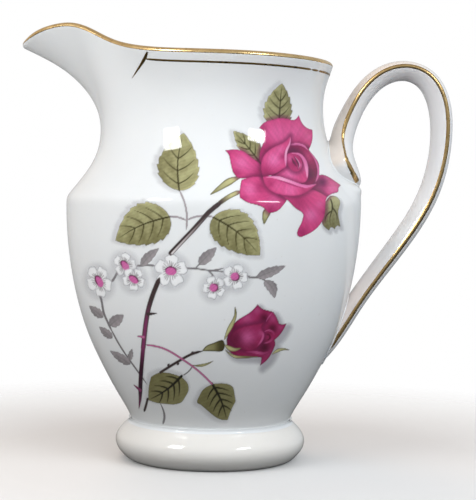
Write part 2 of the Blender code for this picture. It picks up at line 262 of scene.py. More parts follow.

# The handle's colour has painted light and shade: a painted warm shade on the outer face near its
# upper root, and painted warm light on the inner face near its lower one
HANDLE_UPPER_PAINTED_SHADE = (0.97, 0.85, 0.76)
HANDLE_LOWER_PAINTED_LIGHT = (1.15, 1.02, 0.96)
HANDLE_PLAIN_TINT = (1.04, 1.01, 1.0)
HANDLE_UPPER_END = (0.40, 0.22)
HANDLE_LOWER_START = (0.72, 0.84)
HANDLE_UPPER_SIDE = (-0.35, 0.15)
HANDLE_LOWER_SIDE = (0.3, -0.1)

# Painted shade makes the body greyer low down, and painted warm light makes the foot warmer;
# shares of the height the tones run over
PAINTED_TONE_HEIGHT = 0.1
BODY_PAINTED_SHADE = [(0.06, (0.85, 0.835, 0.82)), (0.26, (0.97, 0.96, 0.955)), (0.55, (1.0, 0.995, 0.99))]
FOOT_PAINTED_WARM_LIGHT = [(0.0, (0.99, 0.94, 0.885)), (1.0, (1.0, 0.95, 0.90))]


# ---------------------------------------------------------------- curves


def spline(places, values, wanted):
    """A natural cubic spline through values at places, read at wanted. Values may be arrays."""
    x = np.asarray(places, float)
    y = np.asarray(values, float)
    flat = y.reshape(len(x), -1)
    step = np.diff(x)
    system = np.eye(len(x))
    right = np.zeros_like(flat)
    for n in range(1, len(x) - 1):
        system[n, n - 1 : n + 2] = (step[n - 1], 2 * (step[n - 1] + step[n]), step[n])
        rise = (flat[n + 1] - flat[n]) / step[n] - (flat[n] - flat[n - 1]) / step[n - 1]
        right[n] = 6 * rise
    bend = np.linalg.solve(system, right)
    at = np.asarray(wanted, float)
    k = np.clip(np.searchsorted(x, at) - 1, 0, len(x) - 2)
    h = step[k][:, None]
    a = (x[k + 1] - at)[:, None] / h
    b = (at - x[k])[:, None] / h
    found = a * flat[k] + b * flat[k + 1]
    found += ((a**3 - a) * bend[k] + (b**3 - b) * bend[k + 1]) * h**2 / 6
    return found.reshape((len(at),) + y.shape[1:])


def distances_run(points):
    """How far along each point lies."""
    steps = np.linalg.norm(np.diff(np.asarray(points, float), axis=0), axis=1)
    return np.concatenate([[0.0], np.cumsum(steps)])


def distances(points):
    """How far along each point lies, as shares of the whole length."""
    run = distances_run(points)
    return run / run[-1]


def smooth_line(points, count):
    """count points evenly along a smooth curve through points."""
    return spline(distances(points), points, np.linspace(0, 1, count))


def unit(vectors):
    return vectors / np.maximum(np.linalg.norm(vectors, axis=-1, keepdims=True), 1e-12)


def ease(values):
    t = np.clip(values, 0, 1)
    return t * t * (3 - 2 * t)


def between(values, zero, one):
    """Eases from 0 where values are at zero to 1 where they are at one."""
    return ease((values - zero) / (one - zero))


def blend(base, other, share):
    share = np.asarray(share)[..., None]
    return np.asarray(base) * (1 - share) + np.asarray(other) * share


# ---------------------------------------------------------------- the wall


def rim(angles):
    """The radius and height of the lip's outer edge at each angle; the spout is at 0 degrees."""
    keys = np.array(RIM_KEYS, float)
    before = keys[4:0:-1] * (-1, 1, 1)
    after = keys[-2:-5:-1] * (-1, 1, 1) + (360, 0, 0)
    whole = np.concatenate([before, keys, after])
    turned = np.abs((np.asarray(angles, float) + 180) % 360 - 180)
    return spline(whole[:, 0], whole[:, 1:], turned)


def wall_knots(angles):
    """Knots of the outer wall's profile, from the underside to the lip, for each angle."""
    turned = np.abs((np.asarray(angles, float) + 180) % 360 - 180)
    beak = 0.5 + 0.5 * np.cos(np.pi * np.clip(turned / SPOUT_HALF_ANGLE, 0, 1))
    top = rim(angles) - (0, LIP_WALL / 2)
    ends = [np.broadcast_to(NECK_FOOT, top.shape)]
    for plain, spout in zip(NECK_HANDLES, SPOUT_HANDLES):
        ends.append(np.outer(1 - beak, plain) + np.outer(beak, spout))
    ends[-1][:, 0] += SPOUT_FULLNESS * 4 * beak * (1 - beak)
    ends.append(top)
    knots = [np.broadcast_to(point, top.shape) for point in LOWER_WALL]
    for t in NECK_KNOTS:
        weights = ((1 - t) ** 3, 3 * t * (1 - t) ** 2, 3 * t * t * (1 - t), t**3)
        knots.append(sum(w * end for w, end in zip(weights, ends)))
    return np.array(knots)


KNOT_PLACES = distances(wall_knots([180.0])[:, 0])


def in_space(angles, radii, heights):
    turned = np.radians(angles)
    return np.stack([-radii * np.cos(turned), -radii * np.sin(turned), heights], axis=-1)


def root_swell(angles, heights):
    """How far the wall stands out where the handle's upper root was smoothed on to it."""
    off_handle = np.abs(np.asarray(angles, float) % 360 - 180)
    round_root = ease((ROOT_SWELL_ANGLE - off_handle) / ROOT_SWELL_FADE)
    return ROOT_SWELL * round_root * np.exp(-(((heights - ROOT_SWELL_HEIGHT) / ROOT_SWELL_REACH) ** 2))


def wall(angles, stations):
    """Points of the outer wall: a row for each station, from 0 under the body to 1 at the lip."""
    profile = spline(KNOT_PLACES, wall_knots(angles), stations)
    turned = np.broadcast_to(angles, profile.shape[:2])
    radii, heights = profile[..., 0], profile[..., 1]
    return in_space(turned, radii + root_swell(turned, heights), heights)


def normals_of(grid, closed=True):
    if closed:
        across = np.roll(grid, -1, axis=1) - np.roll(grid, 1, axis=1)
    else:
        across = np.gradient(grid, axis=1)
    return unit(np.cross(across, np.gradient(grid, axis=0)))


def below_lip(angles, drops, rise=0.0):
    """Points on the wall at a distance below the lip's outer edge, standing off it by rise."""
    angles = np.asarray(angles, float)
    stations = np.linspace(0.72, 1.0, 160)
    near = np.stack([wall(angles + turn, stations) for turn in (-0.4, 0.0, 0.4)])
    grid = near[1]
    out = unit(np.cross(near[2] - near[0], np.gradient(grid, axis=0)))
    steps = np.linalg.norm(np.diff(grid, axis=0), axis=-1)
    fall = np.concatenate([np.cumsum(steps[::-1], axis=0)[::-1], np.zeros((1, len(angles)))])
    found = []
    for n, drop in enumerate(np.broadcast_to(drops, angles.shape)):
        order = slice(None, None, -1)
        point = [np.interp(drop, fall[order, n], grid[order, n, k]) for k in range(3)]
        normal = [np.interp(drop, fall[order, n], out[order, n, k]) for k in range(3)]
        found.append(np.array(point) + rise * np.array(normal))
    return np.array(found)


PLAIN_STATIONS = np.linspace(0.05, 1.0, 400)
PLAIN_WALL = spline(KNOT_PLACES, wall_knots([180.0])[:, 0], PLAIN_STATIONS)


def plain_radius(heights):
    """The outer radius away from the spout, at each height."""
    return np.interp(heights, PLAIN_WALL[:, 1], PLAIN_WALL[:, 0])


# ---------------------------------------------------------------- meshes


def new_object(name, mesh, material):
    mesh.materials.append(material)
    obj = bpy.data.objects.new(name, mesh)
    bpy.context.scene.collection.objects.link(obj)
    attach(obj, "root")
    return obj


def mesh_of(name, points, faces):
    """A smooth-shaded mesh in the frame, from points in millimetres about the jug's axis."""
    mesh = bpy.data.meshes.new(name)
    placed = np.asarray(points, float).reshape(-1, 3) * MM + (AXIS_X, 0, 0)
    mesh.from_pydata(placed.tolist(), [], faces)
    mesh.shade_smooth()
    return mesh


def grid_faces(rows, columns, closed=True):
    found = []
    width = columns if closed else columns - 1
    for r in range(rows - 1):
        for c in range(width):
            a = r * columns + c
            b = r * columns + (c + 1) % columns
            found.append((a, b, b + columns, a + columns))
    return found


def closed_ends(rows, columns):
    """The two end faces of a tube of rings."""
    low = tuple(range(columns))[::-1]
    high = tuple((rows - 1) * columns + c for c in range(columns))
    return [low, high]


def looped_faces(rows, columns):
    """Faces of a grid that closes on itself both ways."""
    last = (rows - 1) * columns
    join = [(last + c, last + (c + 1) % columns, (c + 1) % columns, c) for c in range(columns)]
    return grid_faces(rows, columns) + join


def solid_of(name, points, faces, material):
    """A closed solid, with its faces turned to point out."""
    mesh = mesh_of(name, points, faces)
    bm = bmesh.new()
    bm.from_mesh(mesh)
    bmesh.ops.recalc_face_normals(bm, faces=bm.faces)
    bm.to_mesh(mesh)
    bm.free()
    return new_object(name, mesh, material)


def set_colours(mesh, name, values):
    """Gives each point of a mesh a colour and a cover."""
    layer = mesh.color_attributes.new(name, "FLOAT_COLOR", "POINT")
    layer.data.foreach_set("color", np.asarray(values, np.float32).ravel())


def tube(name, rings, material):
    """A closed solid through rings of points."""
    rings = np.asarray(rings)
    rows, columns = rings.shape[:2]
    faces = grid_faces(rows, columns) + closed_ends(rows, columns)
    return solid_of(name, rings, faces, material)


# ---------------------------------------------------------------- the porcelain pieces


def column_angles():
    """Angles round the jug, closer together in the spout than behind it."""
    half = BODY_COLUMNS // 2
    side = 180 * (np.arange(half + 1) / half) ** COLUMN_CROWDING
    return np.concatenate([side, -side[-2:0:-1]])


def lip_arc(outer, inner, upward):
    """Rows of points over the lip, from just past its outer edge to just short of its inner edge."""
    middle = (outer + inner) / 2
    across = (outer - inner) / 2
    reach = np.linalg.norm(across, axis=1, keepdims=True)
    across = unit(across)
    turns = np.pi * np.arange(1, LIP_ROWS) / LIP_ROWS
    return [middle + reach * (across * math.cos(t) + upward * math.sin(t)) for t in turns]


def body_rings():
    """The whole body's rings, from the middle of the underside over the lip to the inner floor."""
    stations = np.linspace(0, 1, OUTER_ROWS)
    outer = wall(column_angles(), stations)
    normals = normals_of(outer)
    share = np.clip((stations - LIP_THINNING_START) / (1 - LIP_THINNING_START), 0, 1)
    thickness = (WALL + (LIP_WALL - WALL) * share)[:, None, None]
    inside = (outer - thickness * normals)[::-1]
    inner = inside[inside[:, 0, 2] > INNER_WALL_START]
    upward = unit(outer[-1] - outer[-2])
    lip = lip_arc(outer[-1], inner[0], upward)
    under = [outer[0] * (share, share, 1) for share in UNDERSIDE_SHARES]
    floor = []
    for turn in np.linspace(0, np.pi / 2, INNER_FLOOR_TURNS)[1:]:
        fall = (inner[-1][:, 2:] - INNER_FLOOR_HEIGHT) * (1 - math.sin(turn))
        shrink = 1 - INNER_FLOOR_SHRINK * (1 - math.cos(turn))
        floor.append(np.hstack([inner[-1][:, :2] * shrink, INNER_FLOOR_HEIGHT + fall]))
    floor += [floor[-1] * (share, share, 1) for share in INNER_FLOOR_SHARES]
    return [*under, *outer, *lip, *inner, *floor]


def make_body(material):
    body = tube("jug_body_glazed", body_rings(), material)
    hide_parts("jug_body")
    return body


def turned_ring(name, profile, material):
    """A ring turned about the jug's axis from a closed profile."""
    profile = np.asarray(profile)
    angles = np.linspace(0, 360, FOOT_STEPS, endpoint=False)
    grid = [in_space(angles, np.full(FOOT_STEPS, r), np.full(FOOT_STEPS, z)) for r, z in profile]
    return solid_of(name, grid, looped_faces(len(profile), FOOT_STEPS), material)


def make_foot(material):
    outside = smooth_line(FOOT_OUTER, 60)
    flat = np.linspace(FOOT_OUTER[-1], FOOT_INNER[0], 5)[1:-1]
    inside = smooth_line(FOOT_INNER, 24)
    profile = np.concatenate([outside, flat, inside])
    foot = turned_ring("foot_ring_glazed", profile, material)
    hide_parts("foot_ring")
    return foot


def fillet_profile():
    """A small triangle with a hollow long side, which fills the corner between body and foot."""
    corner = np.array(FILLET_CORNER)
    a, b = (corner + FILLET_RADIUS * unit(np.array(way)) for way in FILLET_WAYS)
    t = np.linspace(0, 1, FILLET_STEPS)[:, None]
    hollow = (1 - t) ** 2 * a + 2 * t * (1 - t) * corner + t**2 * b
    sunk = corner - FILLET_SINK * unit(a + b - 2 * corner)
    return np.concatenate([hollow, [sunk]])


def make_foot_slip(material):
    slip = turned_ring("foot_slip_fillet", fillet_profile(), material)
    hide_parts("foot_slip_joint")
    return slip


# ---------------------------------------------------------------- the handle


def handle_keys():
    outer = [section[0] for section in HANDLE_SECTIONS]
    values = np.array([(*a, *b, breadth) for a, b, breadth in HANDLE_SECTIONS])
    return distances(outer), values


def strap_section(shares):
    """(outer edge, inner edge, breadth) of the strap at shares of its length from its upper root."""
    places, values = handle_keys()
    found = spline(places, values, shares)
    return found[:, 0:2], found[:, 2:4], found[:, 4]


def ridge_share(shares):
    """Where the side ridge lies between the strap's outer and inner edges."""
    keys = np.array(RIDGE_SHARES)
    return spline(keys[:, 0], keys[:, 1], shares)


def strap_points(shares, turns, rise=0.0):
    """The strap's surface: a row for each share, and a column for each turn in degrees.

    A turn of 0 is the ridge at -Y, 90 is the outer edge and 270 the inner edge.
    """
    outer, inner, breadth = (part[:, None] for part in strap_section(shares))
    angle = np.radians(np.atleast_2d(turns))
    ridge = outer + (inner - outer) * ridge_share(shares)[:, None, None]
    reach = np.where((np.sin(angle) >= 0)[..., None], outer - ridge, inner - ridge)
    depth = (np.abs(np.sin(angle)) ** RIDGE_POWER)[..., None]
    flat = ridge + reach * depth
    side = -breadth / 2 * np.cos(angle)
    points = np.stack([flat[..., 0], side, flat[..., 1]], axis=-1)
    if rise:
        middle = np.stack([ridge[..., 0], np.zeros_like(ridge[..., 0]), ridge[..., 1]], axis=-1)
        points = points + rise * unit(points - middle)
    return points


def depth_in_wall(points):
    """How far inside the outer wall each point near the handle lies; negative outside it."""
    angles = np.degrees(np.arctan2(-points[..., 1], -points[..., 0]))
    radii = plain_radius(points[..., 2]) + root_swell(angles, points[..., 2])
    return radii - np.hypot(points[..., 0], points[..., 1])


def seated(points, depth):
    """Points no deeper in the wall than depth, so that nothing shows on the inside."""
    radius = np.hypot(points[..., 0], points[..., 1])
    most = plain_radius(points[..., 2]) - depth
    scale = np.maximum(most / np.maximum(radius, 1e-6), 1.0)
    return points * np.stack([scale, scale, np.ones_like(scale)], axis=-1)


def make_handle(material):
    turns = np.arange(STRAP_TURNS) * 360 / STRAP_TURNS
    shares = np.linspace(0, 1, STRAP_ROWS)
    rings = seated(strap_points(shares, turns), ROOT_DEPTH)
    handle = tube("strap_handle_glazed", rings, material)
    # Painted light and shade on the handle: warm shade by the upper root's outer face, warm light on the
    # inner face near the lower root
    outward = np.sin(np.radians(turns))[None, :]
    upper = between(shares[:, None], *HANDLE_UPPER_END) * between(outward, *HANDLE_UPPER_SIDE)
    lower = between(shares[:, None], *HANDLE_LOWER_START) * between(outward, *HANDLE_LOWER_SIDE)
    tints = blend(HANDLE_PLAIN_TINT, HANDLE_UPPER_PAINTED_SHADE, upper)
    tints = blend(tints, HANDLE_LOWER_PAINTED_LIGHT, lower)
    set_colours(handle.data, "painted_light_tint", np.concatenate([tints, np.ones((*upper.shape, 1))], axis=-1))
    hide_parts("handle")
    return handle


def joint_line(first, last, turns):
    """Where the strap's surface meets the wall, once round a root."""
    shares = np.linspace(first, last, 160)
    grid = strap_points(shares, turns)
    depths = depth_in_wall(grid)
    found = []
    for n in range(len(turns)):
        row = int(np.argmax(depths[:, n] < 0)) if depths[0, n] > 0 else 1
        a, b = depths[row - 1, n], depths[row, n]
        t = np.clip(a / (a - b), 0, 1) if a != b else 0.5
        found.append(grid[row - 1, n] * (1 - t) + grid[row, n] * t)
    return np.array(found)


def bead(name, line, material):
    """A closed bead of slip along a closed line on the wall."""
    line = np.asarray(line)
    along = unit(np.roll(line, -1, axis=0) - np.roll(line, 1, axis=0))
    out = unit(line * (1, 1, 0.0))
    across = unit(np.cross(along, out))
    out = unit(np.cross(across, along))
    rings = []
    for n in range(SEAM_SIDES):
        angle = 2 * np.pi * n / SEAM_SIDES
        off = math.cos(angle) * across + SEAM_FLATNESS * math.sin(angle) * out
        rings.append(line + SEAM_RADIUS * off)
    return solid_of(name, np.array(rings), looped_faces(SEAM_SIDES, len(line)), material)


def make_handle_slips(material):
    turns = np.arange(SEAM_POINTS) * 360 / SEAM_POINTS
    upper = bead("upper_slip_seam", joint_line(*UPPER_JOINT_SPAN, turns), material)
    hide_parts("upper_slip_joint")
    lower = bead("lower_slip_seam", joint_line(*LOWER_JOINT_SPAN, turns), material)
    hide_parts("lower_slip_joint")


# ---------------------------------------------------------------- gold


def sheet_of(name, rows, tones, material, closed=False):
    """A painted film through rows of points, whose outer rows are sunk in the glaze.

    Each row has a tone, from 0 where the gold is dark to 1 where it is bright: low at the thin edges,
    and low all across the neck's gold as painted shade.
    """
    grid = np.asarray(rows)
    mesh = mesh_of(name, grid, grid_faces(grid.shape[0], grid.shape[1], closed))
    tone = np.repeat(np.asarray(tones, np.float32), grid.shape[1])
    set_colours(mesh, "gold_tone", np.stack([tone, tone, tone, np.ones_like(tone)], -1))
    return new_object(name, mesh, material)


def wall_line(name, angles, drops, widths, material):
    """A gold line on the neck through (angle, drop below the lip), as wide as widths say."""
    flat = below_lip(angles, drops)
    raised = below_lip(angles, drops, 1.0)
    out = raised - flat
    along = unit(np.gradient(flat, axis=0))
    across = unit(np.cross(out, along)) * np.asarray(widths)[:, None] / 2
    rows = [flat + across * side + out * rise for side, rise in zip(FILM_SIDES, FILM_RISES)]
    # Painted shade: the neck's gold is dark all across
    return sheet_of(name, rows, NECK_PAINTED_SHADE_TONES, material)


def make_rim_gold(material):
    """Gold on the round of the lip, worn back at the tip of the spout."""
    angles = column_angles()
    outer = below_lip(angles, 0.0)
    inward = LIP_WALL * (outer - below_lip(angles, 0.0, 1.0))
    upward = unit(outer - below_lip(angles, 0.4))
    middle = outer + inward / 2
    across = unit(-inward)
    worn = np.exp(-((angles / RIM_GOLD_WORN_ANGLE) ** 2))
    first = np.radians(RIM_GOLD_TURN + RIM_GOLD_WORN_TURN * worn)[:, None]
    last = np.pi - first
    rises = np.full(LIP_ROWS + 1, GILT_RISE)
    rises[[0, -1]] = FILM_RISES[0]
    rows = []
    for n, rise in enumerate(rises):
        turn = first + (last - first) * n / LIP_ROWS
        rows.append(middle + (LIP_WALL / 2 + rise) * (across * np.cos(turn) + upward * np.sin(turn)))
    tones = np.full(len(rows), 1.0)
    tones[[0, -1]] = RIM_EDGE_TONE
    gold = sheet_of("rim_gold", rows, tones, material, True)
    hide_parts("rim_gilding")


def make_neck_gold(material):
    """The line round the neck, which stops at a brush stroke on each side of the spout."""
    stroke = smooth_line(STROKE_KEYS, 40)
    widths = stroke[:, 2] * STROKE_SPREAD
    for side, name, node in ((1, "near", "spout_stroke_left"), (-1, "far", "spout_stroke_right")):
        gold = wall_line(f"spout_stroke_{name}", side * stroke[:, 0], stroke[:, 1], widths, material)
        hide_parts(node)
    start = STROKE_KEYS[1][0] - STROKE_TO_LINE
    angles = np.linspace(start, 360 - start, NECK_LINE_POINTS)
    from_stroke = 180 - start - np.abs(angles - 180)
    present = 1 - NECK_LINE_START_DEPTH * np.exp(-((from_stroke / NECK_LINE_START_REACH) ** 2))
    for worn in NECK_LINE_WORN:
        spot = np.exp(-(((angles - worn) / NECK_LINE_WORN_REACH) ** 2))
        present *= 1 - NECK_LINE_WORN_DEPTH * spot
    drops = np.full(len(angles), NECK_LINE_DROP)
    line = wall_line("neck_gold_line", angles, drops, NECK_LINE_WIDTH * present, material)
    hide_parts("neck_gilt_line")


def ridge_turns(shares, offsets):
    """The turns that lie at offsets in mm from the strap's ridge, positive toward its outer edge."""
    outer, inner, _ = strap_section(shares)
    side_share = ridge_share(shares)
    depth = np.linalg.norm(inner - outer, axis=1)
    reach = depth * np.where(offsets > 0, side_share, 1 - side_share)
    part = np.clip(np.abs(offsets) / reach, 0, 1) ** (1 / RIDGE_POWER)
    return np.sign(offsets) * np.degrees(np.arcsin(part))


def make_handle_gold(material):
    first, last = HANDLE_LINE_SPAN
    crowded = np.linspace(0, 1, HANDLE_LINE_POINTS) ** HANDLE_LINE_CROWDING
    shares = first + (last - first) * crowded
    dive = np.clip(1 - (shares - first) / HANDLE_LINE_DIVE_SPAN, 0, 1) ** HANDLE_LINE_DIVE_POWER
    offsets = -HANDLE_LINE_DIVE * dive
    length = distances_run([section[0] for section in HANDLE_SECTIONS])[-1]
    along, across = np.gradient(shares) * length, np.gradient(offsets)
    run = np.hypot(along, across)
    half = HANDLE_LINE_WIDTH / 2 * ease(0.5 + (last - shares) / HANDLE_LINE_TAPER)
    rows = []
    for side, rise in zip(FILM_SIDES, FILM_RISES):
        moved = shares - side * half * across / run / length
        turns = ridge_turns(moved, offsets + side * half * along / run)
        rows.append(strap_points(moved, turns[:, None], rise)[:, 0])
    for side, name, node in ((1, "near", "handle_gilt_left"), (-1, "far", "handle_gilt_right")):
        mirrored = np.array(rows) * (1, side, 1)
        gold = sheet_of(f"handle_gold_{name}", mirrored[::side], HANDLE_TONES, material)
        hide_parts(node)


# ---------------------------------------------------------------- the painted spray
#
# The drawing's sheet is the plane across the jug's axis that faces the camera, in millimetres, with
# its origin at the middle of the foot. Every point of the film takes its colour from the place on the
# sheet that the camera sees it at, so the drawing lies on the jug as it does on the sheet.


PRINT_PITCH = 0.2
PRINT_RADIUS = 36.5
PRINT_RISE = 0.035
PRINT_ANGLES = (18.0, 164.0)
PRINT_STATIONS = (0.03, 0.965)
SHEET_REACH = 375.35
SHEET_ORIGIN = (7.0, 51.4)
LEAST_COVER = 0.004
EDGE = 0.16
BLOSSOM_THREADS = 24

ROSE = (0.80, 0.26, 0.49)
ROSE_DEEP = (0.56, 0.11, 0.32)
ROSE_DARK = (0.38, 0.10, 0.26)
ROSE_LIGHT = (0.90, 0.48, 0.70)
ROSE_PALE = (0.95, 0.68, 0.82)
BUD = (0.60, 0.15, 0.34)
BUD_DARK = (0.30, 0.05, 0.16)
BUD_LIGHT = (0.80, 0.38, 0.60)
OLIVE = (0.67, 0.66, 0.48)
OLIVE_LIGHT = (0.77, 0.75, 0.54)
OLIVE_DARK = (0.44, 0.42, 0.27)
VEIN = (0.24, 0.22, 0.12)
SEPIA = (0.27, 0.22, 0.22)
STEM_MAGENTA = (0.50, 0.22, 0.38)
STEM_PINK = (0.76, 0.42, 0.60)
GREY = (0.68, 0.65, 0.66)
GREY_DARK = (0.50, 0.48, 0.49)
MAUVE = (0.70, 0.65, 0.67)
SHADE = (0.68, 0.67, 0.70)
PETAL_WHITE = (0.97, 0.975, 0.98)
HUB = (0.82, 0.42, 0.66)
HUB_DARK = (0.32, 0.12, 0.24)


def camera_axes():
    """The camera's right, up and forward directions."""
    tilt, roll = math.radians(CAMERA_TILT_DOWN), math.radians(CAMERA_ROLL)
    forward = np.array([0, math.cos(tilt), -math.sin(tilt)])
    level, upright = np.array([1.0, 0, 0]), np.array([0, math.sin(tilt), math.cos(tilt)])
    right = level * math.cos(roll) + upright * math.sin(roll)
    up = upright * math.cos(roll) - level * math.sin(roll)
    return right, up, forward


def sheet_places(points):
    """Where the camera sees points of the front of the jug, on the drawing's sheet."""
    right, up, forward = camera_axes()
    seen = points - np.array([CAMERA_RIGHT, -CAMERA_DISTANCE, CAMERA_HEIGHT])
    ahead = seen @ forward
    across = SHEET_REACH * (seen @ right) / ahead + SHEET_ORIGIN[0]
    upward = SHEET_REACH * (seen @ up) / ahead + SHEET_ORIGIN[1]
    return np.stack([across, upward], axis=-1)


def mottle(places, size, seed=0.0):
    """Soft cloudy variation between about -1 and 1, with features of about the given size."""
    total = np.zeros(len(places))
    for n in range(5):
        turn = 1.9 * n + seed
        run = places @ np.array([math.cos(turn), math.sin(turn)])
        total += np.sin(2 * np.pi * run * (1 + 0.6 * n) / size + 2.1 * n + 3 * seed) / (1 + 0.7 * n)
    return total / 2.4


def to_line(places, line):
    """Distance from each place to a line of points, and how far along it the nearest spot is."""
    a, b = line[:-1], line[1:]
    run = b - a
    offset = places[:, None, :] - a[None]
    t = np.clip((offset * run).sum(-1) / np.maximum((run * run).sum(-1), 1e-12), 0, 1)
    gap = np.linalg.norm(offset - t[..., None] * run, axis=-1)
    nearest = gap.argmin(axis=1)
    rows = np.arange(len(places))
    return gap[rows, nearest], (nearest + t[rows, nearest]) / len(a)


def within(places, outline):
    """True for the places inside a closed outline."""
    a, b = outline, np.roll(outline, -1, axis=0)
    x, y = places[:, 0][:, None], places[:, 1][:, None]
    spans = (a[:, 1] > y) != (b[:, 1] > y)
    drop = np.where(a[:, 1] == b[:, 1], 1e-9, b[:, 1] - a[:, 1])
    meets = x < (b[:, 0] - a[:, 0]) * (y - a[:, 1]) / drop + a[:, 0]
    return ((spans & meets).sum(axis=1) % 2).astype(bool)


def closed(*sides, fineness=0.45):
    """A closed outline from sides, which are smooth in themselves and meet in corners."""
    points = []
    for n, side in enumerate(sides):
        whole = [*side, sides[(n + 1) % len(sides)][0]]
        length = sum(math.dist(p, q) for p, q in zip(whole, whole[1:]))
        count = max(3, int(length / fineness))
        smooth = smooth_line(whole, count) if len(whole) > 2 else np.linspace(*whole, count)
        points.append(smooth[:-1])
    return np.concatenate(points)


def ring_of(points, fineness=0.4):
    """A closed outline that is smooth all round."""
    looped = np.array([*points[-3:], *points, *points[:3]], float)
    run = distances_run(looped)
    first, last = run[3], run[3 + len(points)]
    count = max(8, int((last - first) / fineness))
    return spline(run, looped, np.linspace(first, last, count, endpoint=False))


class Painting:
    """Colour and cover at places on a sheet, laid on stroke over stroke."""

    def __init__(self, places):
        self.places = places
        self.colour = np.ones((len(places), 3))
        self.cover = np.zeros(len(places))

    def near(self, points, margin):
        low, high = np.min(points, axis=0) - margin, np.max(points, axis=0) + margin
        return np.nonzero(((self.places > low) & (self.places < high)).all(axis=1))[0]

    def lay(self, index, colour, cover):
        under = self.cover[index] * (1 - cover)
        total = cover + under
        mixed = np.asarray(colour) * cover[:, None] + self.colour[index] * under[:, None]
        self.colour[index] = mixed / np.maximum(total, 1e-9)[:, None]
        self.cover[index] = total

    def darken(self, index, colour, share):
        """Works only on what is painted already."""
        share = (share * ease(self.cover[index] * 2 - 0.6))[:, None]
        self.colour[index] = self.colour[index] * (1 - share) + np.asarray(colour) * share

    def depth(self, index, outline):
        """How far inside an outline each place is; negative outside it."""
        gap, _ = to_line(self.places[index], np.vstack([outline, outline[:1]]))
        return np.where(within(self.places[index], outline), gap, -gap)

    def fill(self, outline, shade, cover=1.0, edge=EDGE):
        """Fills an outline with the colours that shade(places, depth) gives."""
        index = self.near(outline, edge)
        depth = self.depth(index, outline)
        self.lay(index, shade(self.places[index], depth), cover * ease(depth / edge + 0.5))

    def halo(self, outline, shift, reach, colour, strength):
        """A soft shade round an outline, a little to one side of it."""
        moved = outline + np.array(shift)
        index = self.near(moved, reach)
        depth = self.depth(index, moved)
        self.lay(index, np.broadcast_to(colour, (len(index), 3)), strength * ease(depth / reach + 1))

    def stroke(self, points, width, colours, cover=1.0, taper=(0.4, 0.0), edge_colour=None):
        """A brush line. Width shrinks to nothing over the taper shares at its two ends."""
        line = smooth_line(points, 12 * len(points)) if len(points) > 2 else np.linspace(*points, 12)
        index = self.near(line, width)
        gap, along = to_line(self.places[index], line)
        shape = np.ones(len(index))
        if taper[0]:
            shape *= np.clip(along / taper[0], 0, 1) ** 0.7
        if taper[1]:
            shape *= np.clip((1 - along) / taper[1], 0, 1) ** 0.7
        half = width / 2 * shape
        tones = np.atleast_2d(colours)
        stops = np.linspace(0, 1, len(tones))
        colour = np.stack([np.interp(along, stops, tones[:, k]) for k in range(3)], -1)
        if edge_colour is not None:
            rim = ease(gap / np.maximum(half, 1e-6) * 2 - 0.9)[:, None]
            colour = colour * (1 - rim) + np.asarray(edge_colour) * rim
        self.lay(index, colour, cover * ease((half - gap) / EDGE + 0.5) * ease(half / 0.06))


def petal(
    painting, outline, root,
    base=ROSE,
    dark=ROSE_DEEP,
    light=ROSE_LIGHT,
    glows=(),
    shades=(),
    rim=0.25,
):
    """A petal: streaked from its root, with lit and shaded spots, over a soft shadow."""
    index = painting.near(outline, 1.4)
    depth = painting.depth(index, outline)
    painting.darken(index, ROSE_DARK, 0.55 * ease(depth / 1.3 + 1))

    def shade(places, depth):
        turn = np.arctan2(places[:, 1] - root[1], places[:, 0] - root[0])
        far = np.hypot(places[:, 0] - root[0], places[:, 1] - root[1])
        streak = 0.5 * np.sin(23 * turn + 0.4 * far) + 0.3 * np.sin(41 * turn + 1.3) + 0.2 * np.sin(67 * turn)
        colour = blend(base, dark, 0.55 * ease(1 - far / 5.5))
        for x, y, radius, strength in glows:
            spot = np.hypot(places[:, 0] - x, places[:, 1] - y) / radius
            colour = blend(colour, light, strength * np.exp(-(spot**2)))
        for x, y, radius, strength in shades:
            spot = np.hypot(places[:, 0] - x, places[:, 1] - y) / radius
            colour = blend(colour, dark, strength * np.exp(-(spot**2)))
        colour = blend(colour, dark, rim * ease(1 - depth / 0.5))
        tone = 1 + 0.035 * streak + 0.03 * mottle(places, 1.1, 0.7)
        return np.clip(colour * tone[:, None], 0, 1)

    painting.fill(outline, shade)


def leaf_outline(base, tip, left, right, bend, teeth, bite):
    """A serrated ovate outline, and its midrib from base to tip."""
    base, tip = np.array(base, float), np.array(tip, float)
    run = tip - base
    side = np.array([-run[1], run[0]]) / np.linalg.norm(run)
    t = np.linspace(0, 1, 81)
    rib = base + np.outer(t, run) + np.outer(np.sin(np.pi * t) * bend, side)
    full = 2.62 * t**0.55 * (1 - t) ** 0.9
    tooth = (t * teeth) % 1.0
    saw = np.where((t > 0.12) & (t < 0.97), bite * (tooth - 0.35), 0.0)
    leftward = rib + np.outer(left * full + saw * full, side)
    rightward = rib - np.outer(right * full + saw * full, side)
    return np.concatenate([leftward, rightward[-2:0:-1]]), rib, side, full


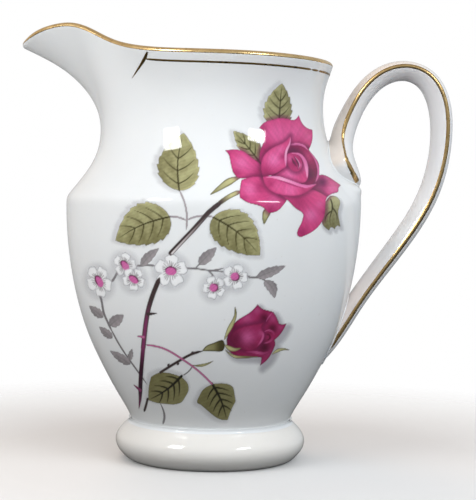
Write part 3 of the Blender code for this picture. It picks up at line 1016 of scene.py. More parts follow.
def leaf(painting, base, tip, left, right, bend=0.0, dim=0.0, shadow=(-0.4, -0.2), pairs=4, lit=1, edge=None):
    """A rose leaf: a grey cast shadow, mottled olive, a paler edge and dark feathered veins."""
    outline, rib, side, full = leaf_outline(base, tip, left, right, bend, 7, 0.55)
    if edge is not None:
        outline = edge
    if shadow:
        painting.halo(outline, shadow, 1.1, SHADE, 0.2)
    length = math.dist(base, tip)

    def shade(places, depth):
        gap, along = to_line(places, rib)
        over = ((places - rib[40]) @ side) * lit
        colour = blend(OLIVE, OLIVE_DARK, np.clip(0.22 - 0.09 * over + 0.3 * mottle(places, 3.0, 0.3), 0, 1))
        colour = blend(colour, OLIVE_LIGHT, 0.8 * ease(1 - depth / 0.6) * ease(0.6 + 0.4 * over))
        furrow = 0.5 + 0.5 * np.cos(2 * np.pi * (along * pairs * 1.05 - gap / length * 2.4))
        colour = blend(colour, OLIVE_DARK, 0.28 * furrow * ease(gap / 0.8))
        colour = blend(colour, OLIVE_DARK, dim)
        return np.clip(colour * (1 + 0.05 * mottle(places, 0.8, 1.9))[:, None], 0, 1)

    painting.fill(outline, shade)
    vein = blend(VEIN, (0.08, 0.08, 0.04), dim)
    painting.stroke(rib[:78:7], 0.42 + 0.3 * dim, vein, taper=(0.0, 0.8))
    for n in range(pairs):
        at = 0.12 + 0.66 * n / pairs
        start = rib[int(80 * at)]
        reach = rib[min(int(80 * (at + 0.24)), 79)]
        for way, width in ((1, left), (-1, right)):
            end = reach + side * way * width * full[int(80 * min(at + 0.16, 1))] * 0.86
            middle = (start + end) / 2 + (start - reach) * 0.12
            painting.stroke([start, middle, end], 0.3 + 0.2 * dim, vein, 0.85, taper=(0.0, 0.75))


def sepal(painting, points, width, base=OLIVE, tip=OLIVE_DARK):
    painting.stroke(points, width, [tip, base, OLIVE_LIGHT, base], taper=(0.55, 0.35), edge_colour=OLIVE_DARK)


def grey_leaf(painting, base, tip, width, bend):
    outline, rib, side, _ = leaf_outline(base, tip, width, width, bend, 4, 0.25)

    def shade(places, depth):
        over = (places - rib[40]) @ side
        return blend(
            GREY, GREY_DARK, np.clip(0.35 + 0.35 * over / width + 0.25 * mottle(places, 1.2, 0.5), 0, 1),
        )

    painting.fill(outline, shade, cover=0.85)
    painting.stroke(rib[:72:8], 0.22, GREY_DARK, 0.9, taper=(0.0, 0.8))


def twig(painting, points, width, colour=GREY_DARK):
    painting.stroke(points, width, colour, 0.8, taper=(0.1, 0.15))


def blossom(painting, centre, reach, squash, lean, hub, hub_lean, dark_side, turn):
    """Five white petals in a grey haze, with fine grey threads round a magenta eye."""
    centre = np.array(centre, float)
    round_turns = np.linspace(0, 2 * np.pi, 40, endpoint=False)
    circle = np.stack([np.cos(round_turns), np.sin(round_turns)], -1)

    def leaning(flat, angle):
        tilt = math.radians(angle)
        return flat @ np.array([[math.cos(tilt), math.sin(tilt)], [-math.sin(tilt), math.cos(tilt)]])

    def placed(flat):
        return centre + leaning(np.asarray(flat) * (squash, 1.0), lean)

    def white_shade(places, depth):
        return blend(PETAL_WHITE, SHADE, 0.10 * ease(1 - depth / 0.4))

    painting.halo(placed(circle * reach * 0.9), (0.0, -0.15), 2.2, SHADE, 0.22)
    for n in range(5):
        angle = turn + 2 * np.pi * n / 5
        ahead = np.array([math.cos(angle), math.sin(angle)])
        aside = np.array([-ahead[1], ahead[0]])
        waist = 0.84 - 0.2 * np.cos(round_turns)
        swell = 0.44 * reach * waist * np.abs(np.sin(round_turns)) ** 0.8 * np.sign(np.sin(round_turns))
        ruffle = 0.05 * np.cos(2 * round_turns) + 0.035 * np.cos(5 * round_turns + n)
        reach_out = reach * (0.56 - 0.46 * np.cos(round_turns) - ruffle)
        shape = placed(np.outer(reach_out, ahead) + np.outer(swell, aside))
        painting.fill(shape, white_shade, 0.97, 0.5)
    for n in range(BLOSSOM_THREADS):
        angle = turn + 2 * np.pi * (n + 0.25 * math.sin(5 * n)) / BLOSSOM_THREADS
        way = np.array([math.cos(angle), math.sin(angle)])
        tip = hub[0] + (reach - hub[0]) * (0.40 + 0.14 * math.sin(7 * n))
        painting.stroke(placed([way * hub[1] * 0.9, way * tip]), 0.19, GREY_DARK, 0.8, taper=(0.0, 0.25))
    toward_dark = np.array([math.cos(math.radians(dark_side)), math.sin(math.radians(dark_side))])

    def shade(places, depth):
        over = (places - centre) @ toward_dark / hub[1]
        colour = blend(HUB, HUB_DARK, ease(0.9 * over + 0.45) * ease(1.25 - depth / 0.34))
        return np.clip(colour * (1 + 0.10 * mottle(places, 0.6, 2.2))[:, None], 0, 1)

    painting.fill(centre + leaning(circle * hub, hub_lean), shade)


def paint_rose(painting):
    """The open rose, from its back petals to the front of its cup."""
    sepal(painting, [(0.0, 65.2), (2.4, 66.9), (5.0, 68.6), (8.0, 69.8)], 1.7)
    sepal(painting, [(13.5, 57.8), (13.9, 60.0), (15.0, 62.5)], 1.9)
    leaf(painting, (17.2, 81.6), (18.0, 93.0), 3.9, 2.9, 0.1, shadow=(-0.7, 0.1))
    leaf(painting, (13.0, 72.6), (5.9, 81.1), 2.3, 2.6, -0.2, shadow=(-0.6, -0.1))
    curled = closed(
        [(30.0, 64.9), (31.4, 64.8), (32.5, 63.5), (32.1, 61.5), (32.3, 58.8)],
        [(32.6, 57.2), (31.7, 57.5)],
        [(31.2, 56.6), (30.2, 57.2)],
        [(29.8, 56.3), (28.7, 57.1), (28.0, 58.4), (28.7, 61.0), (28.9, 63.4)],
    )
    painting.halo(curled, (0.3, -0.6), 0.9, SHADE, 0.3)

    def curled_shade(places, depth):
        low = 0.2 + (62 - places[:, 1]) * 0.14
        return blend(OLIVE, OLIVE_DARK, np.clip(low + 0.3 * mottle(places, 1.6), 0, 1))

    painting.fill(curled, curled_shade)
    veins = (
        [(30.2, 64.0), (30.6, 62.0), (30.0, 59.5), (30.2, 57.2)],
        [(30.6, 62.0), (31.6, 60.5), (31.7, 58.3)],
        [(30.1, 61.0), (29.0, 59.8), (28.8, 58.0)],
    )
    for vein in veins:
        painting.stroke(vein, 0.36, VEIN, 0.9, taper=(0.0, 0.7))

    back = closed(
        [(12.3, 81.9), (13.5, 83.2), (15.4, 83.9), (18.8, 84.3), (21.3, 84.0)],
        [(22.2, 85.1), (22.8, 83.5), (24.1, 82.0)],
        [(25.6, 81.4), (25.6, 79.2), (24.7, 76.5)],
        [(22.0, 73.0), (17.0, 72.0), (12.8, 73.0), (12.7, 76.5), (13.6, 79.0), (13.4, 81.2)],
    )
    petal(
        painting, back, (19.5, 74.5),
        glows=((16.5, 80.5, 3.0, 0.45), (21.5, 81.0, 2.5, 0.35), (24.6, 79.5, 1.2, 0.3)),
        shades=((14.0, 76.0, 2.6, 0.7), (22.0, 77.4, 2.0, 0.5), (13.4, 81.9, 1.0, 0.4)),
    )
    side = closed(
        [(24.4, 76.8), (26.0, 74.8), (27.1, 73.2)],
        [(27.3, 72.4), (27.2, 70.3), (26.6, 68.0)],
        [(22.5, 68.0), (21.0, 72.0)],
    )
    petal(
        painting, side, (22.0, 70.0),
        base=ROSE_DEEP,
        dark=ROSE_DARK,
        light=ROSE,
        glows=((26.9, 72.0, 0.9, 0.7),),
        shades=((25.4, 70.8, 2.2, 0.9),),
    )
    right = closed(
        [(26.4, 69.6), (27.6, 70.2), (29.2, 69.9), (31.0, 68.8)],
        [(32.7, 67.6), (32.1, 66.8), (32.1, 66.1), (30.6, 65.5), (28.8, 64.2)],
        [(25.5, 65.0), (25.0, 67.0)],
    )
    petal(
        painting, right, (25.0, 67.0),
        dark=(0.42, 0.13, 0.32),
        glows=((30.4, 66.6, 1.6, 0.5), (29.0, 69.5, 0.8, 0.3)),
        shades=((28.0, 68.4, 1.3, 1.0), (27.0, 65.8, 1.4, 0.5)),
    )
    left = closed(
        [(3.8, 76.3), (6.2, 76.5), (8.4, 76.0), (10.6, 74.3), (12.9, 72.4)],
        [(13.2, 69.2), (10.0, 69.4), (6.7, 69.7)],
        [(5.7, 71.0), (5.1, 73.6), (4.6, 75.4)],
    )
    petal(
        painting, left, (13.5, 70.5),
        glows=((7.9, 73.2, 2.0, 0.65), (10.6, 71.8, 1.6, 0.25)),
        shades=((6.4, 70.4, 1.6, 0.5), (4.6, 75.6, 0.8, 0.4), (12.4, 70.8, 1.5, 0.5)),
    )
    lower_left = closed(
        [(7.9, 68.9), (7.5, 66.6)],
        [(7.5, 64.5), (9.2, 63.4), (11.2, 62.8), (13.2, 62.1)],
        [(14.6, 60.8), (16.2, 60.9), (17.8, 62.0)],
        [(18.9, 63.4), (19.6, 65.6), (16.5, 67.5), (13.0, 69.6), (10.2, 69.6)],
    )
    petal(
        painting, lower_left, (17.5, 66.0),
        glows=((10.0, 66.6, 1.9, 0.65), (16.0, 63.8, 1.6, 0.35)),
        shades=((12.6, 67.2, 1.5, 0.55), (15.2, 61.4, 1.2, 0.5), (8.4, 64.6, 1.0, 0.3)),
    )
    hanging = closed(
        [(17.6, 65.2), (19.9, 63.4), (21.9, 61.5), (23.2, 60.6)],
        [(23.4, 60.1), (22.8, 58.0), (21.9, 56.2), (22.0, 54.9), (22.7, 54.7)],
        [(22.9, 54.7), (25.1, 55.7), (27.1, 57.3), (28.4, 59.4), (28.8, 61.6), (29.1, 64.2)],
        [(29.3, 64.6), (26.5, 66.2), (21.0, 66.4)],
    )
    petal(
        painting, hanging, (22.0, 65.8),
        glows=((25.2, 60.2, 1.7, 0.7), (27.4, 62.8, 1.0, 0.35)),
        shades=((23.0, 55.8, 1.3, 0.6), (22.0, 63.6, 1.8, 0.45), (28.6, 60.8, 0.7, 0.4)),
    )

    throat = ring_of(
        [
            (18.9, 76.6), (21.4, 77.7), (24.2, 76.9), (25.9, 74.2), (26.6, 71.0), (25.6, 67.9),
            (20.0, 67.8), (15.5, 69.5), (15.6, 72.5),
        ],
    )
    petal(
        painting, throat, (21.5, 72.0),
        base=ROSE_DEEP,
        dark=ROSE_DARK,
        light=ROSE,
        glows=((24.2, 74.6, 1.5, 0.7),),
        shades=((20.8, 76.0, 1.3, 0.9), (25.2, 70.2, 1.5, 1.0)),
        rim=0.0,
    )
    painting.stroke(
        [(19.6, 77.6), (21.6, 77.9), (23.6, 77.3), (24.6, 76.2)], 0.5, ROSE_LIGHT, 0.8,
        taper=(0.3, 0.3),
    )
    painting.stroke(
        [(24.6, 76.4), (26.2, 74.2), (27.0, 72.0), (26.9, 69.6), (26.3, 68.2)], 0.5, ROSE_LIGHT, 0.8,
        taper=(0.4, 0.2),
    )
    fold = ring_of(
        [
            (16.4, 70.2), (18.6, 71.9), (19.2, 75.0), (21.4, 75.9), (23.2, 75.0), (24.1, 72.8),
            (24.6, 70.4), (24.0, 68.6), (20.5, 68.6),
        ],
    )
    petal(
        painting, fold, (21.4, 73.0),
        glows=((20.0, 70.4, 2.0, 0.6), (23.9, 72.0, 1.0, 0.55)),
        shades=((21.4, 73.4, 1.1, 0.9),),
        rim=0.1,
    )
    inner = ring_of(
        [(19.0, 75.0), (20.6, 75.7), (22.2, 74.9), (23.0, 73.0), (22.6, 71.5), (21.4, 71.0), (20.0, 71.9)],
    )
    petal(
        painting, inner, (21.3, 73.2),
        glows=((19.9, 74.2, 0.9, 0.5), (22.6, 72.6, 0.6, 0.6)),
        shades=((21.4, 73.2, 0.9, 0.8),),
        rim=0.1,
    )
    painting.stroke(
        [(20.3, 75.6), (22.3, 75.3), (23.6, 73.8), (24.2, 71.6), (24.3, 69.4)], 0.85,
        [ROSE_LIGHT, ROSE_LIGHT, ROSE_PALE], 0.85,
        taper=(0.5, 0.3),
    )
    for curl in (
        [(20.4, 74.6), (20.9, 73.4), (21.8, 72.2)],
        [(20.9, 75.0), (21.7, 73.8), (22.2, 72.4), (21.8, 71.4)],
    ):
        painting.stroke(curl, 0.55, ROSE_DARK, 0.9, taper=(0.5, 0.5))
    painting.stroke(
        [(21.0, 74.9), (21.9, 73.9), (22.4, 72.6), (21.9, 71.6)], 0.25, ROSE_PALE, 0.7,
        taper=(0.4, 0.4),
    )

    upturned = closed(
        [(20.1, 79.9), (18.9, 78.6), (16.8, 77.5), (14.6, 76.2), (13.2, 74.4), (12.8, 72.0)],
        [(13.2, 69.7), (15.3, 70.1), (17.2, 71.0)],
        [(19.0, 72.2), (18.8, 73.7), (18.6, 75.3), (19.2, 76.8), (20.0, 78.2)],
    )
    petal(
        painting, upturned, (14.0, 70.0),
        glows=((16.0, 74.0, 1.9, 0.75), (17.6, 76.6, 1.2, 0.4)),
        shades=((18.2, 74.6, 0.9, 0.5), (13.8, 71.0, 1.0, 0.4)),
    )
    painting.stroke(
        [(19.0, 72.3), (18.9, 74.4), (19.2, 76.4), (19.9, 78.0), (20.1, 79.7)], 0.55,
        [ROSE_LIGHT, ROSE_PALE, ROSE_LIGHT], 0.9,
        taper=(0.2, 0.4),
    )
    cup = closed(
        [(13.2, 69.7), (13.7, 68.0), (15.0, 66.4), (17.0, 65.4), (19.6, 65.0), (22.2, 65.1), (24.6, 66.2)],
        [(26.7, 67.9), (25.2, 67.3), (23.0, 67.6), (20.4, 68.6), (17.6, 69.5), (15.0, 69.9)],
    )
    petal(
        painting, cup, (19.6, 72.0),
        glows=((20.0, 66.4, 2.0, 0.5), (16.6, 67.4, 1.4, 0.3)),
        shades=((15.0, 68.0, 1.3, 0.5), (23.8, 66.2, 1.4, 0.4)),
        rim=0.35,
    )
    painting.stroke(
        [(13.9, 69.6), (16.2, 69.6), (18.8, 68.9), (21.6, 67.9), (24.2, 67.3), (26.6, 67.9)], 0.8,
        [ROSE_LIGHT, ROSE_PALE, ROSE_LIGHT, ROSE_LIGHT], 0.85,
        taper=(0.25, 0.2),
    )
    painting.stroke(
        [(16.5, 69.0), (19.0, 68.3), (21.8, 67.3), (24.0, 66.8)], 0.4, ROSE_DEEP, 0.55,
        taper=(0.4, 0.4),
    )


def paint_bud(painting):
    whole = closed(
        [(4.2, 29.1), (4.6, 30.8), (5.6, 32.5), (7.0, 33.9), (9.6, 35.5), (11.2, 36.9)],
        [(11.9, 37.8), (12.9, 36.8), (14.3, 36.3)],
        [(15.8, 35.9), (16.5, 34.8), (17.1, 33.4)],
        [(17.3, 32.9), (18.2, 32.8)],
        [(19.1, 33.0), (18.1, 31.1), (17.0, 29.7)],
        [(16.1, 28.9), (16.3, 28.0), (15.9, 26.7), (15.0, 24.9), (13.8, 23.5)],
        [(12.5, 22.5), (12.8, 23.5)],
        [(12.9, 24.5), (10.3, 24.8), (7.2, 24.9), (5.2, 25.7), (4.3, 27.3)],
    )
    painting.halo(whole, (0.6, -0.9), 1.6, SHADE, 0.45)
    petal(
        painting, whole, (4.5, 28.0),
        base=BUD,
        dark=BUD_DARK,
        light=BUD_LIGHT,
        glows=(
            (9.2, 34.4, 1.6, 0.6), (11.8, 36.2, 1.0, 0.5), (15.6, 34.4, 1.2, 0.45),
            (17.6, 31.9, 1.2, 0.3), (14.6, 26.0, 1.4, 0.5), (13.0, 23.2, 0.7, 0.4),
        ),
        shades=(
            (13.6, 34.4, 1.1, 0.8), (15.6, 31.8, 1.1, 0.8), (13.6, 27.0, 1.6, 0.95),
            (6.0, 32.0, 1.2, 0.5),
        ),
        rim=0.3,
    )
    heart = closed(
        [(5.0, 29.1), (5.4, 30.5), (6.8, 31.7), (9.4, 32.6), (11.8, 33.0)],
        [(13.7, 33.4), (13.0, 31.8)],
        [(13.1, 31.5), (13.5, 30.6), (13.2, 29.2), (12.3, 27.4), (10.4, 26.1), (8.0, 26.4), (6.0, 27.6)],
    )
    petal(
        painting, heart, (6.5, 28.4),
        base=BUD,
        dark=BUD_DARK,
        light=BUD_LIGHT,
        glows=((9.4, 29.6, 1.9, 0.85), (12.7, 30.6, 0.8, 0.5)),
        shades=((6.6, 29.4, 1.2, 0.25), (11.0, 27.2, 1.2, 0.3)),
        rim=0.35,
    )
    painting.stroke(
        [(12.4, 31.4), (13.2, 30.7), (13.1, 29.2), (12.2, 27.8), (11.6, 27.1)], 0.5,
        [BUD, BUD_LIGHT, BUD_LIGHT, BUD], 0.8,
        taper=(0.3, 0.4),
    )
    painting.stroke([(13.9, 33.2), (14.8, 34.8), (15.7, 35.8)], 0.3, BUD_LIGHT, 0.6, taper=(0.4, 0.3))
    painting.stroke(
        [(13.6, 31.0), (14.8, 31.3), (15.9, 30.6), (15.6, 29.2), (14.4, 28.3), (13.3, 28.2)], 0.5,
        [BUD_LIGHT, BUD, BUD_LIGHT], 0.85,
        taper=(0.2, 0.3),
    )
    painting.stroke(
        [(13.9, 30.3), (14.7, 30.2), (15.0, 29.4), (14.2, 28.9)], 0.4, BUD_DARK, 0.8,
        taper=(0.3, 0.3),
    )
    painting.stroke(
        [(8.6, 25.9), (10.8, 25.9), (13.4, 25.6), (15.2, 26.2)], 0.7, [BUD, BUD_LIGHT, BUD], 0.7,
        taper=(0.4, 0.4),
    )
    sepal(painting, [(6.15, 37.4), (6.4, 35.6), (5.8, 33.5), (4.6, 31.2), (3.5, 28.8)], 1.05)
    sepal(painting, [(7.8, 26.9), (6.2, 26.5), (4.8, 26.9), (3.6, 27.8)], 1.15)
    sepal(painting, [(12.2, 24.7), (8.6, 24.6), (5.6, 25.0), (3.7, 26.6)], 0.65, OLIVE_DARK)
    sepal(painting, [(19.9, 26.4), (18.4, 26.6), (17.0, 26.3), (15.5, 25.3)], 0.75)
    calyx = closed(
        [(-2.0, 26.1), (-0.8, 27.5), (1.0, 28.2), (3.3, 28.8)], [(3.7, 27.4), (3.3, 26.3), (1.0, 26.1)],
    )

    def calyx_shade(places, depth):
        toward_bud = np.clip((places[:, 0] + 2) / 5, 0, 1)
        colour = blend(OLIVE, OLIVE_DARK, toward_bud)
        colour = blend(colour, VEIN, 0.8 * ease(2.2 * toward_bud - 1.2))
        return blend(colour, VEIN, 0.8 * ease(1 - depth / 0.4))

    painting.fill(calyx, calyx_shade)


def paint_stems(painting):
    twig(painting, [(-7.7, 66.4), (-6.4, 63.4), (-5.8, 60.0), (-5.9, 56.3)], 0.4, MAUVE)
    twig(painting, [(-10.2, 59.8), (-8.0, 59.6), (-5.9, 58.8)], 0.4, MAUVE)
    twig(painting, [(-5.8, 58.9), (-3.2, 59.8), (0.9, 59.7)], 0.4, MAUVE)
    painting.stroke(
        [(8.0, 66.2), (5.2, 65.0), (2.6, 63.3)], 1.1, [OLIVE, OLIVE_LIGHT, SEPIA],
        taper=(0.2, 0.0),
        edge_colour=OLIVE_DARK,
    )
    painting.stroke(
        [(2.9, 63.4), (0.2, 61.3), (-3.0, 57.8), (-6.4, 54.2), (-9.8, 50.6)], 1.15, SEPIA,
        taper=(0.05, 0.0),
    )
    painting.stroke(
        [(0.5, 61.3), (-2.8, 57.7), (-6.2, 54.1), (-9.55, 50.5)], 0.42,
        [SEPIA, (0.62, 0.57, 0.57), (0.9, 0.88, 0.88)],
        taper=(0.5, 0.0),
    )
    painting.stroke(
        [(-12.5, 44.6), (-14.2, 40.5), (-15.5, 36.2), (-16.3, 31.0), (-16.7, 27.0)], 1.15,
        [SEPIA, SEPIA, STEM_MAGENTA, STEM_MAGENTA],
        taper=(0.06, 0.0),
        edge_colour=SEPIA,
    )
    painting.stroke(
        [(-16.7, 27.2), (-17.1, 22.5), (-17.4, 18.0), (-17.5, 14.0), (-17.8, 11.6)], 1.0,
        [STEM_MAGENTA, (0.22, 0.08, 0.16), (0.20, 0.10, 0.16), STEM_MAGENTA],
        taper=(0.0, 0.3),
    )
    painting.stroke([(-13.2, 35.6), (-15.5, 35.4)], 0.85, SEPIA, taper=(0.95, 0.0))
    painting.stroke([(-18.4, 29.9), (-16.6, 29.6)], 0.6, STEM_PINK, taper=(0.95, 0.0))
    painting.stroke([(-19.2, 17.8), (-17.4, 16.3)], 0.7, STEM_MAGENTA, taper=(0.95, 0.0))
    painting.stroke(
        [(-1.6, 26.2), (-4.5, 25.4), (-7.0, 24.1), (-9.7, 22.5), (-12.4, 20.8)], 0.62, SEPIA,
        taper=(0.15, 0.0),
    )
    for nub in ((-4.4, 25.8), (-8.0, 22.9), (-10.4, 22.7)):
        painting.stroke([np.array(nub) - 0.3, np.array(nub) + 0.3], 0.5, SEPIA, taper=(0.4, 0.4))
    painting.stroke(
        [(-16.2, 27.7), (-12.6, 27.1), (-9.6, 25.8), (-6.8, 24.0), (-4.2, 22.2), (-1.8, 20.2), (0.5, 17.9)],
        0.42, STEM_PINK,
        taper=(0.05, 0.0),
    )
    painting.stroke(
        [(-4.4, 22.6), (-2.6, 22.5), (-0.8, 22.9), (0.9, 23.7)], 0.62, [OLIVE_DARK, OLIVE, OLIVE_DARK],
        taper=(0.4, 0.5),
    )
    twig(painting, [(-4.4, 22.3), (-5.1, 21.3), (-6.8, 20.0)], 0.28)
    painting.stroke([(-15.6, 14.2), (-16.0, 12.6), (-16.5, 10.9)], 0.55, SEPIA, taper=(0.0, 0.15))
    painting.stroke(
        [(-12.6, 13.4), (-11.7, 11.4), (-11.4, 9.6), (-11.8, 7.8)], 0.5, GREY_DARK, 0.85,
        taper=(0.6, 0.1),
    )


def paint_leaves(painting):
    leaf(painting, (-7.7, 66.3), (-6.6, 80.6), 4.9, 5.2, 0.9, shadow=(-0.7, 0.0), pairs=3, lit=-1)
    leaf(painting, (-10.1, 59.7), (-23.6, 53.8), 5.3, 5.1, -0.9, shadow=(-0.6, 0.1), lit=-1)
    leaf(painting, (0.8, 59.6), (12.5, 50.1), 4.9, 5.0, 0.9, shadow=(0.3, -0.4))
    low_left = closed(
        [(-7.25, 19.7), (-5.5, 17.7), (-5.4, 16.3), (-6.2, 14.7), (-7.0, 13.5)],
        [(-9.2, 12.8), (-11.3, 12.95), (-13.3, 13.2)],
        [(-15.4, 13.9), (-15.4, 15.8), (-15.1, 18.25)],
        [(-14.7, 19.7), (-12.7, 20.7), (-10.65, 20.7)],
    )
    leaf(painting, (-7.1, 19.9), (-15.4, 13.9), 3.9, 3.6, 0.6, 0.62, shadow=(-0.3, 0.5), edge=low_left)
    low_right = closed(
        [(0.74, 17.84), (3.6, 18.0), (5.8, 16.9), (6.0, 16.1)],
        [(6.4, 13.6), (5.2, 11.2)],
        [(4.4, 8.9), (2.8, 9.0), (0.1, 10.65)],
        [(-2.4, 12.8), (-3.2, 13.2), (-2.9, 14.45), (-1.6, 16.6)],
    )
    leaf(painting, (0.5, 18.0), (4.2, 8.9), 3.6, 3.9, 0.5, 0.62, shadow=(-0.5, -0.2), edge=low_right)


# The blossoms' twigs: points and width
UPPER_TWIGS = [
    ([(-24.6, 43.4), (-23.8, 44.6), (-22.9, 46.4)], 0.55),
    ([(-18.4, 47.4), (-16.0, 47.6), (-13.6, 47.4)], 0.5),
    ([(-6.8, 46.8), (-3.0, 46.7), (0.2, 46.3), (3.6, 46.9)], 0.4),
    ([(-0.2, 46.3), (1.6, 46.2), (3.6, 45.9)], 0.35),
    ([(-0.4, 46.2), (0.6, 45.2), (1.0, 43.8)], 0.4),
    ([(-3.6, 46.9), (-2.6, 47.9), (-1.4, 49.2)], 0.3),
    ([(8.8, 45.1), (10.6, 44.5), (12.2, 44.8)], 0.5),
    ([(11.6, 44.6), (13.0, 44.2), (14.4, 43.2)], 0.35),
]
LOWER_TWIGS = [
    ([(-28.0, 41.0), (-27.1, 38.6), (-26.7, 36.2), (-25.6, 33.4), (-24.4, 30.8)], 0.5),
    ([(-24.9, 31.9), (-22.6, 27.6), (-20.2, 24.0), (-17.8, 20.7), (-15.6, 17.6)], 0.36),
]

# Their grey leaves: base, tip, half breadth and bend
UPPER_GREY_LEAVES = [
    ((-17.2, 47.5), (-12.8, 51.8), 1.1, 0.3),
    ((-2.7, 47.9), (1.6, 52.0), 1.3, 0.0),
    ((11.8, 44.6), (18.9, 47.4), 1.15, 0.0),
    ((13.8, 43.7), (16.2, 39.4), 1.25, 0.7),
]
LOWER_GREY_LEAVES = [
    ((-26.8, 34.6), (-30.2, 37.4), 1.0, 0.0),
    ((-25.0, 32.6), (-21.6, 35.2), 1.35, 0.0),
    ((-24.5, 29.4), (-27.7, 32.2), 0.9, 0.0),
    ((-20.0, 22.9), (-25.0, 26.2), 0.95, 0.0),
    ((-20.2, 23.8), (-19.5, 26.7), 0.6, 0.0),
]

# The blossoms: centre, reach, squash, lean, hub's half axes, hub's lean, its dark side, first petal
BLOSSOMS = [
    ((-27.75, 43.6), 4.1, 0.72, 22, (1.6, 0.88), -62, 160, 1.9),
    ((-21.3, 47.6), 3.2, 0.85, 28, (1.45, 0.88), -55, 120, 0.9),
    ((-19.1, 44.1), 3.0, 0.9, 40, (1.4, 0.85), -38, 60, 0.2),
    ((-9.8, 46.2), 4.1, 1.0, 0, (1.45, 1.12), -8, 90, 1.5),
    ((1.0, 42.0), 2.9, 0.98, 0, (1.15, 1.05), 20, 10, 0.7),
    ((6.3, 44.7), 3.2, 0.98, 0, (1.15, 1.1), 20, -40, 1.2),
]


def paint_blossoms(painting):
    for points, width in UPPER_TWIGS:
        twig(painting, points, width)
    for base, tip, width, bend in UPPER_GREY_LEAVES:
        grey_leaf(painting, base, tip, width, bend)
    for points, width in LOWER_TWIGS:
        twig(painting, points, width)
    for base, tip, width, bend in LOWER_GREY_LEAVES:
        grey_leaf(painting, base, tip, width, bend)
    for flower in BLOSSOMS:
        blossom(painting, *flower)


def painted_film():
    """Points, normals, colours, covers and quads of the film on the front of the jug."""
    low, high = PRINT_ANGLES
    columns = int(math.radians(high - low) * PRINT_RADIUS / PRINT_PITCH)
    length = distances_run(PLAIN_WALL)[-1]
    rows = int(length * (PRINT_STATIONS[1] - PRINT_STATIONS[0]) / PRINT_PITCH)
    grid = wall(np.linspace(low, high, columns), np.linspace(*PRINT_STATIONS, rows))
    normals = normals_of(grid, closed=False)
    points = (grid + PRINT_RISE * normals).reshape(-1, 3)
    painting = Painting(sheet_places(points))
    paint_leaves(painting)
    paint_blossoms(painting)
    paint_stems(painting)
    paint_rose(painting)
    paint_bud(painting)
    corner = np.arange(rows * columns).reshape(rows, columns)
    quads = np.stack([corner[:-1, :-1], corner[:-1, 1:], corner[1:, 1:], corner[1:, :-1]], -1).reshape(-1, 4)
    quads = quads[painting.cover[quads].max(axis=1) > LEAST_COVER]
    used, quads = np.unique(quads, return_inverse=True)
    colours = np.hstack([linear(painting.colour[used]), painting.cover[used, None]])
    return points[used], normals.reshape(-1, 3)[used], colours, quads.reshape(-1, 4)


def linear(colours):
    """Display colours as linear light."""
    colours = np.clip(colours, 0, 1)
    return np.where(colours <= 0.04045, colours / 12.92, ((colours + 0.055) / 1.055) ** 2.4)


def make_prints(material):
    """The same spray on both sides of the jug, mirrored on the far one."""
    points, normals, colours, quads = painted_film()
    for name, side in (("rose_print_near", 1), ("rose_print_far", -1)):
        faces = quads if side > 0 else quads[:, ::-1]
        mesh = mesh_of(name, points * (1, side, 1), faces.tolist())
        mesh.normals_split_custom_set_from_vertices((normals * (1, side, 1)).tolist())
        set_colours(mesh, "print_colour", colours)
        new_object(name, mesh, material)


# ---------------------------------------------------------------- materials


class Nodes:
    """A short way to write a material's nodes."""

    def __init__(self, owner):
        owner.use_nodes = True
        self.material = owner
        self.tree = owner.node_tree
        self.shader = self.tree.nodes.get("Principled BSDF")
        self.place = self.add("ShaderNodeTexCoord").outputs["Object"]

    @classmethod
    def named(cls, name):
        return cls(bpy.data.materials.new(name))

    def add(self, kind, **settings):
        node = self.tree.nodes.new(kind)
        for key, value in settings.items():
            setattr(node, key, value)
        return node

    def link(self, source, target):
        self.tree.links.new(source, target)

    def noise(self, scale, detail=2.0, roughness=0.5):
        node = self.add("ShaderNodeTexNoise")
        node.inputs["Scale"].default_value = scale
        node.inputs["Detail"].default_value = detail
        node.inputs["Roughness"].default_value = roughness
        self.link(self.place, node.inputs["Vector"])
        return node.outputs["Fac"]

    def ramp(self, source, *stops):
        node = self.add("ShaderNodeValToRGB")
        ramp = node.color_ramp
        while len(ramp.elements) < len(stops):
            ramp.elements.new(0.5)
        for element, (place, colour) in zip(ramp.elements, stops):
            element.position = place
            element.color = (*colour, 1.0)
        self.link(source, node.inputs["Fac"])
        return node.outputs["Color"]

    def span(self, source, low, high, bottom=0.0, top=1.0):
        node = self.add("ShaderNodeMapRange")
        for name, value in (("From Min", bottom), ("From Max", top), ("To Min", low), ("To Max", high)):
            node.inputs[name].default_value = value
        self.link(source, node.inputs["Value"])
        return node.outputs["Result"]

    def mix(self, share, first, second, blend="MIX"):
        node = self.add("ShaderNodeMix", data_type="RGBA", blend_type=blend)
        for socket, value in (("Factor", share), ("A", first), ("B", second)):
            target = [s for s in node.inputs if s.name == socket and s.enabled][0]
            if isinstance(value, (int, float, tuple)):
                target.default_value = value
            else:
                self.link(value, target)
        return [s for s in node.outputs if s.enabled][0]

    def bump(self, source, strength, distance):
        node = self.add("ShaderNodeBump")
        node.inputs["Strength"].default_value = strength
        node.inputs["Distance"].default_value = distance
        self.link(source, node.inputs["Height"])
        self.link(node.outputs["Normal"], self.shader.inputs["Normal"])

    def set(self, **values):
        for name, value in values.items():
            socket = self.shader.inputs[name.replace("_", " ")]
            if isinstance(value, (int, float, tuple)):
                socket.default_value = value
            else:
                self.link(value, socket)


def glaze_surface(n):
    """The glaze's polish and its slow ripple, which the print under it shares."""
    n.set(Roughness=n.span(n.noise(160.0, 2.0), 0.03, 0.06, 0.3, 0.7), IOR=1.5)
    n.bump(n.noise(190.0, 1.0), 0.06, 0.0004)


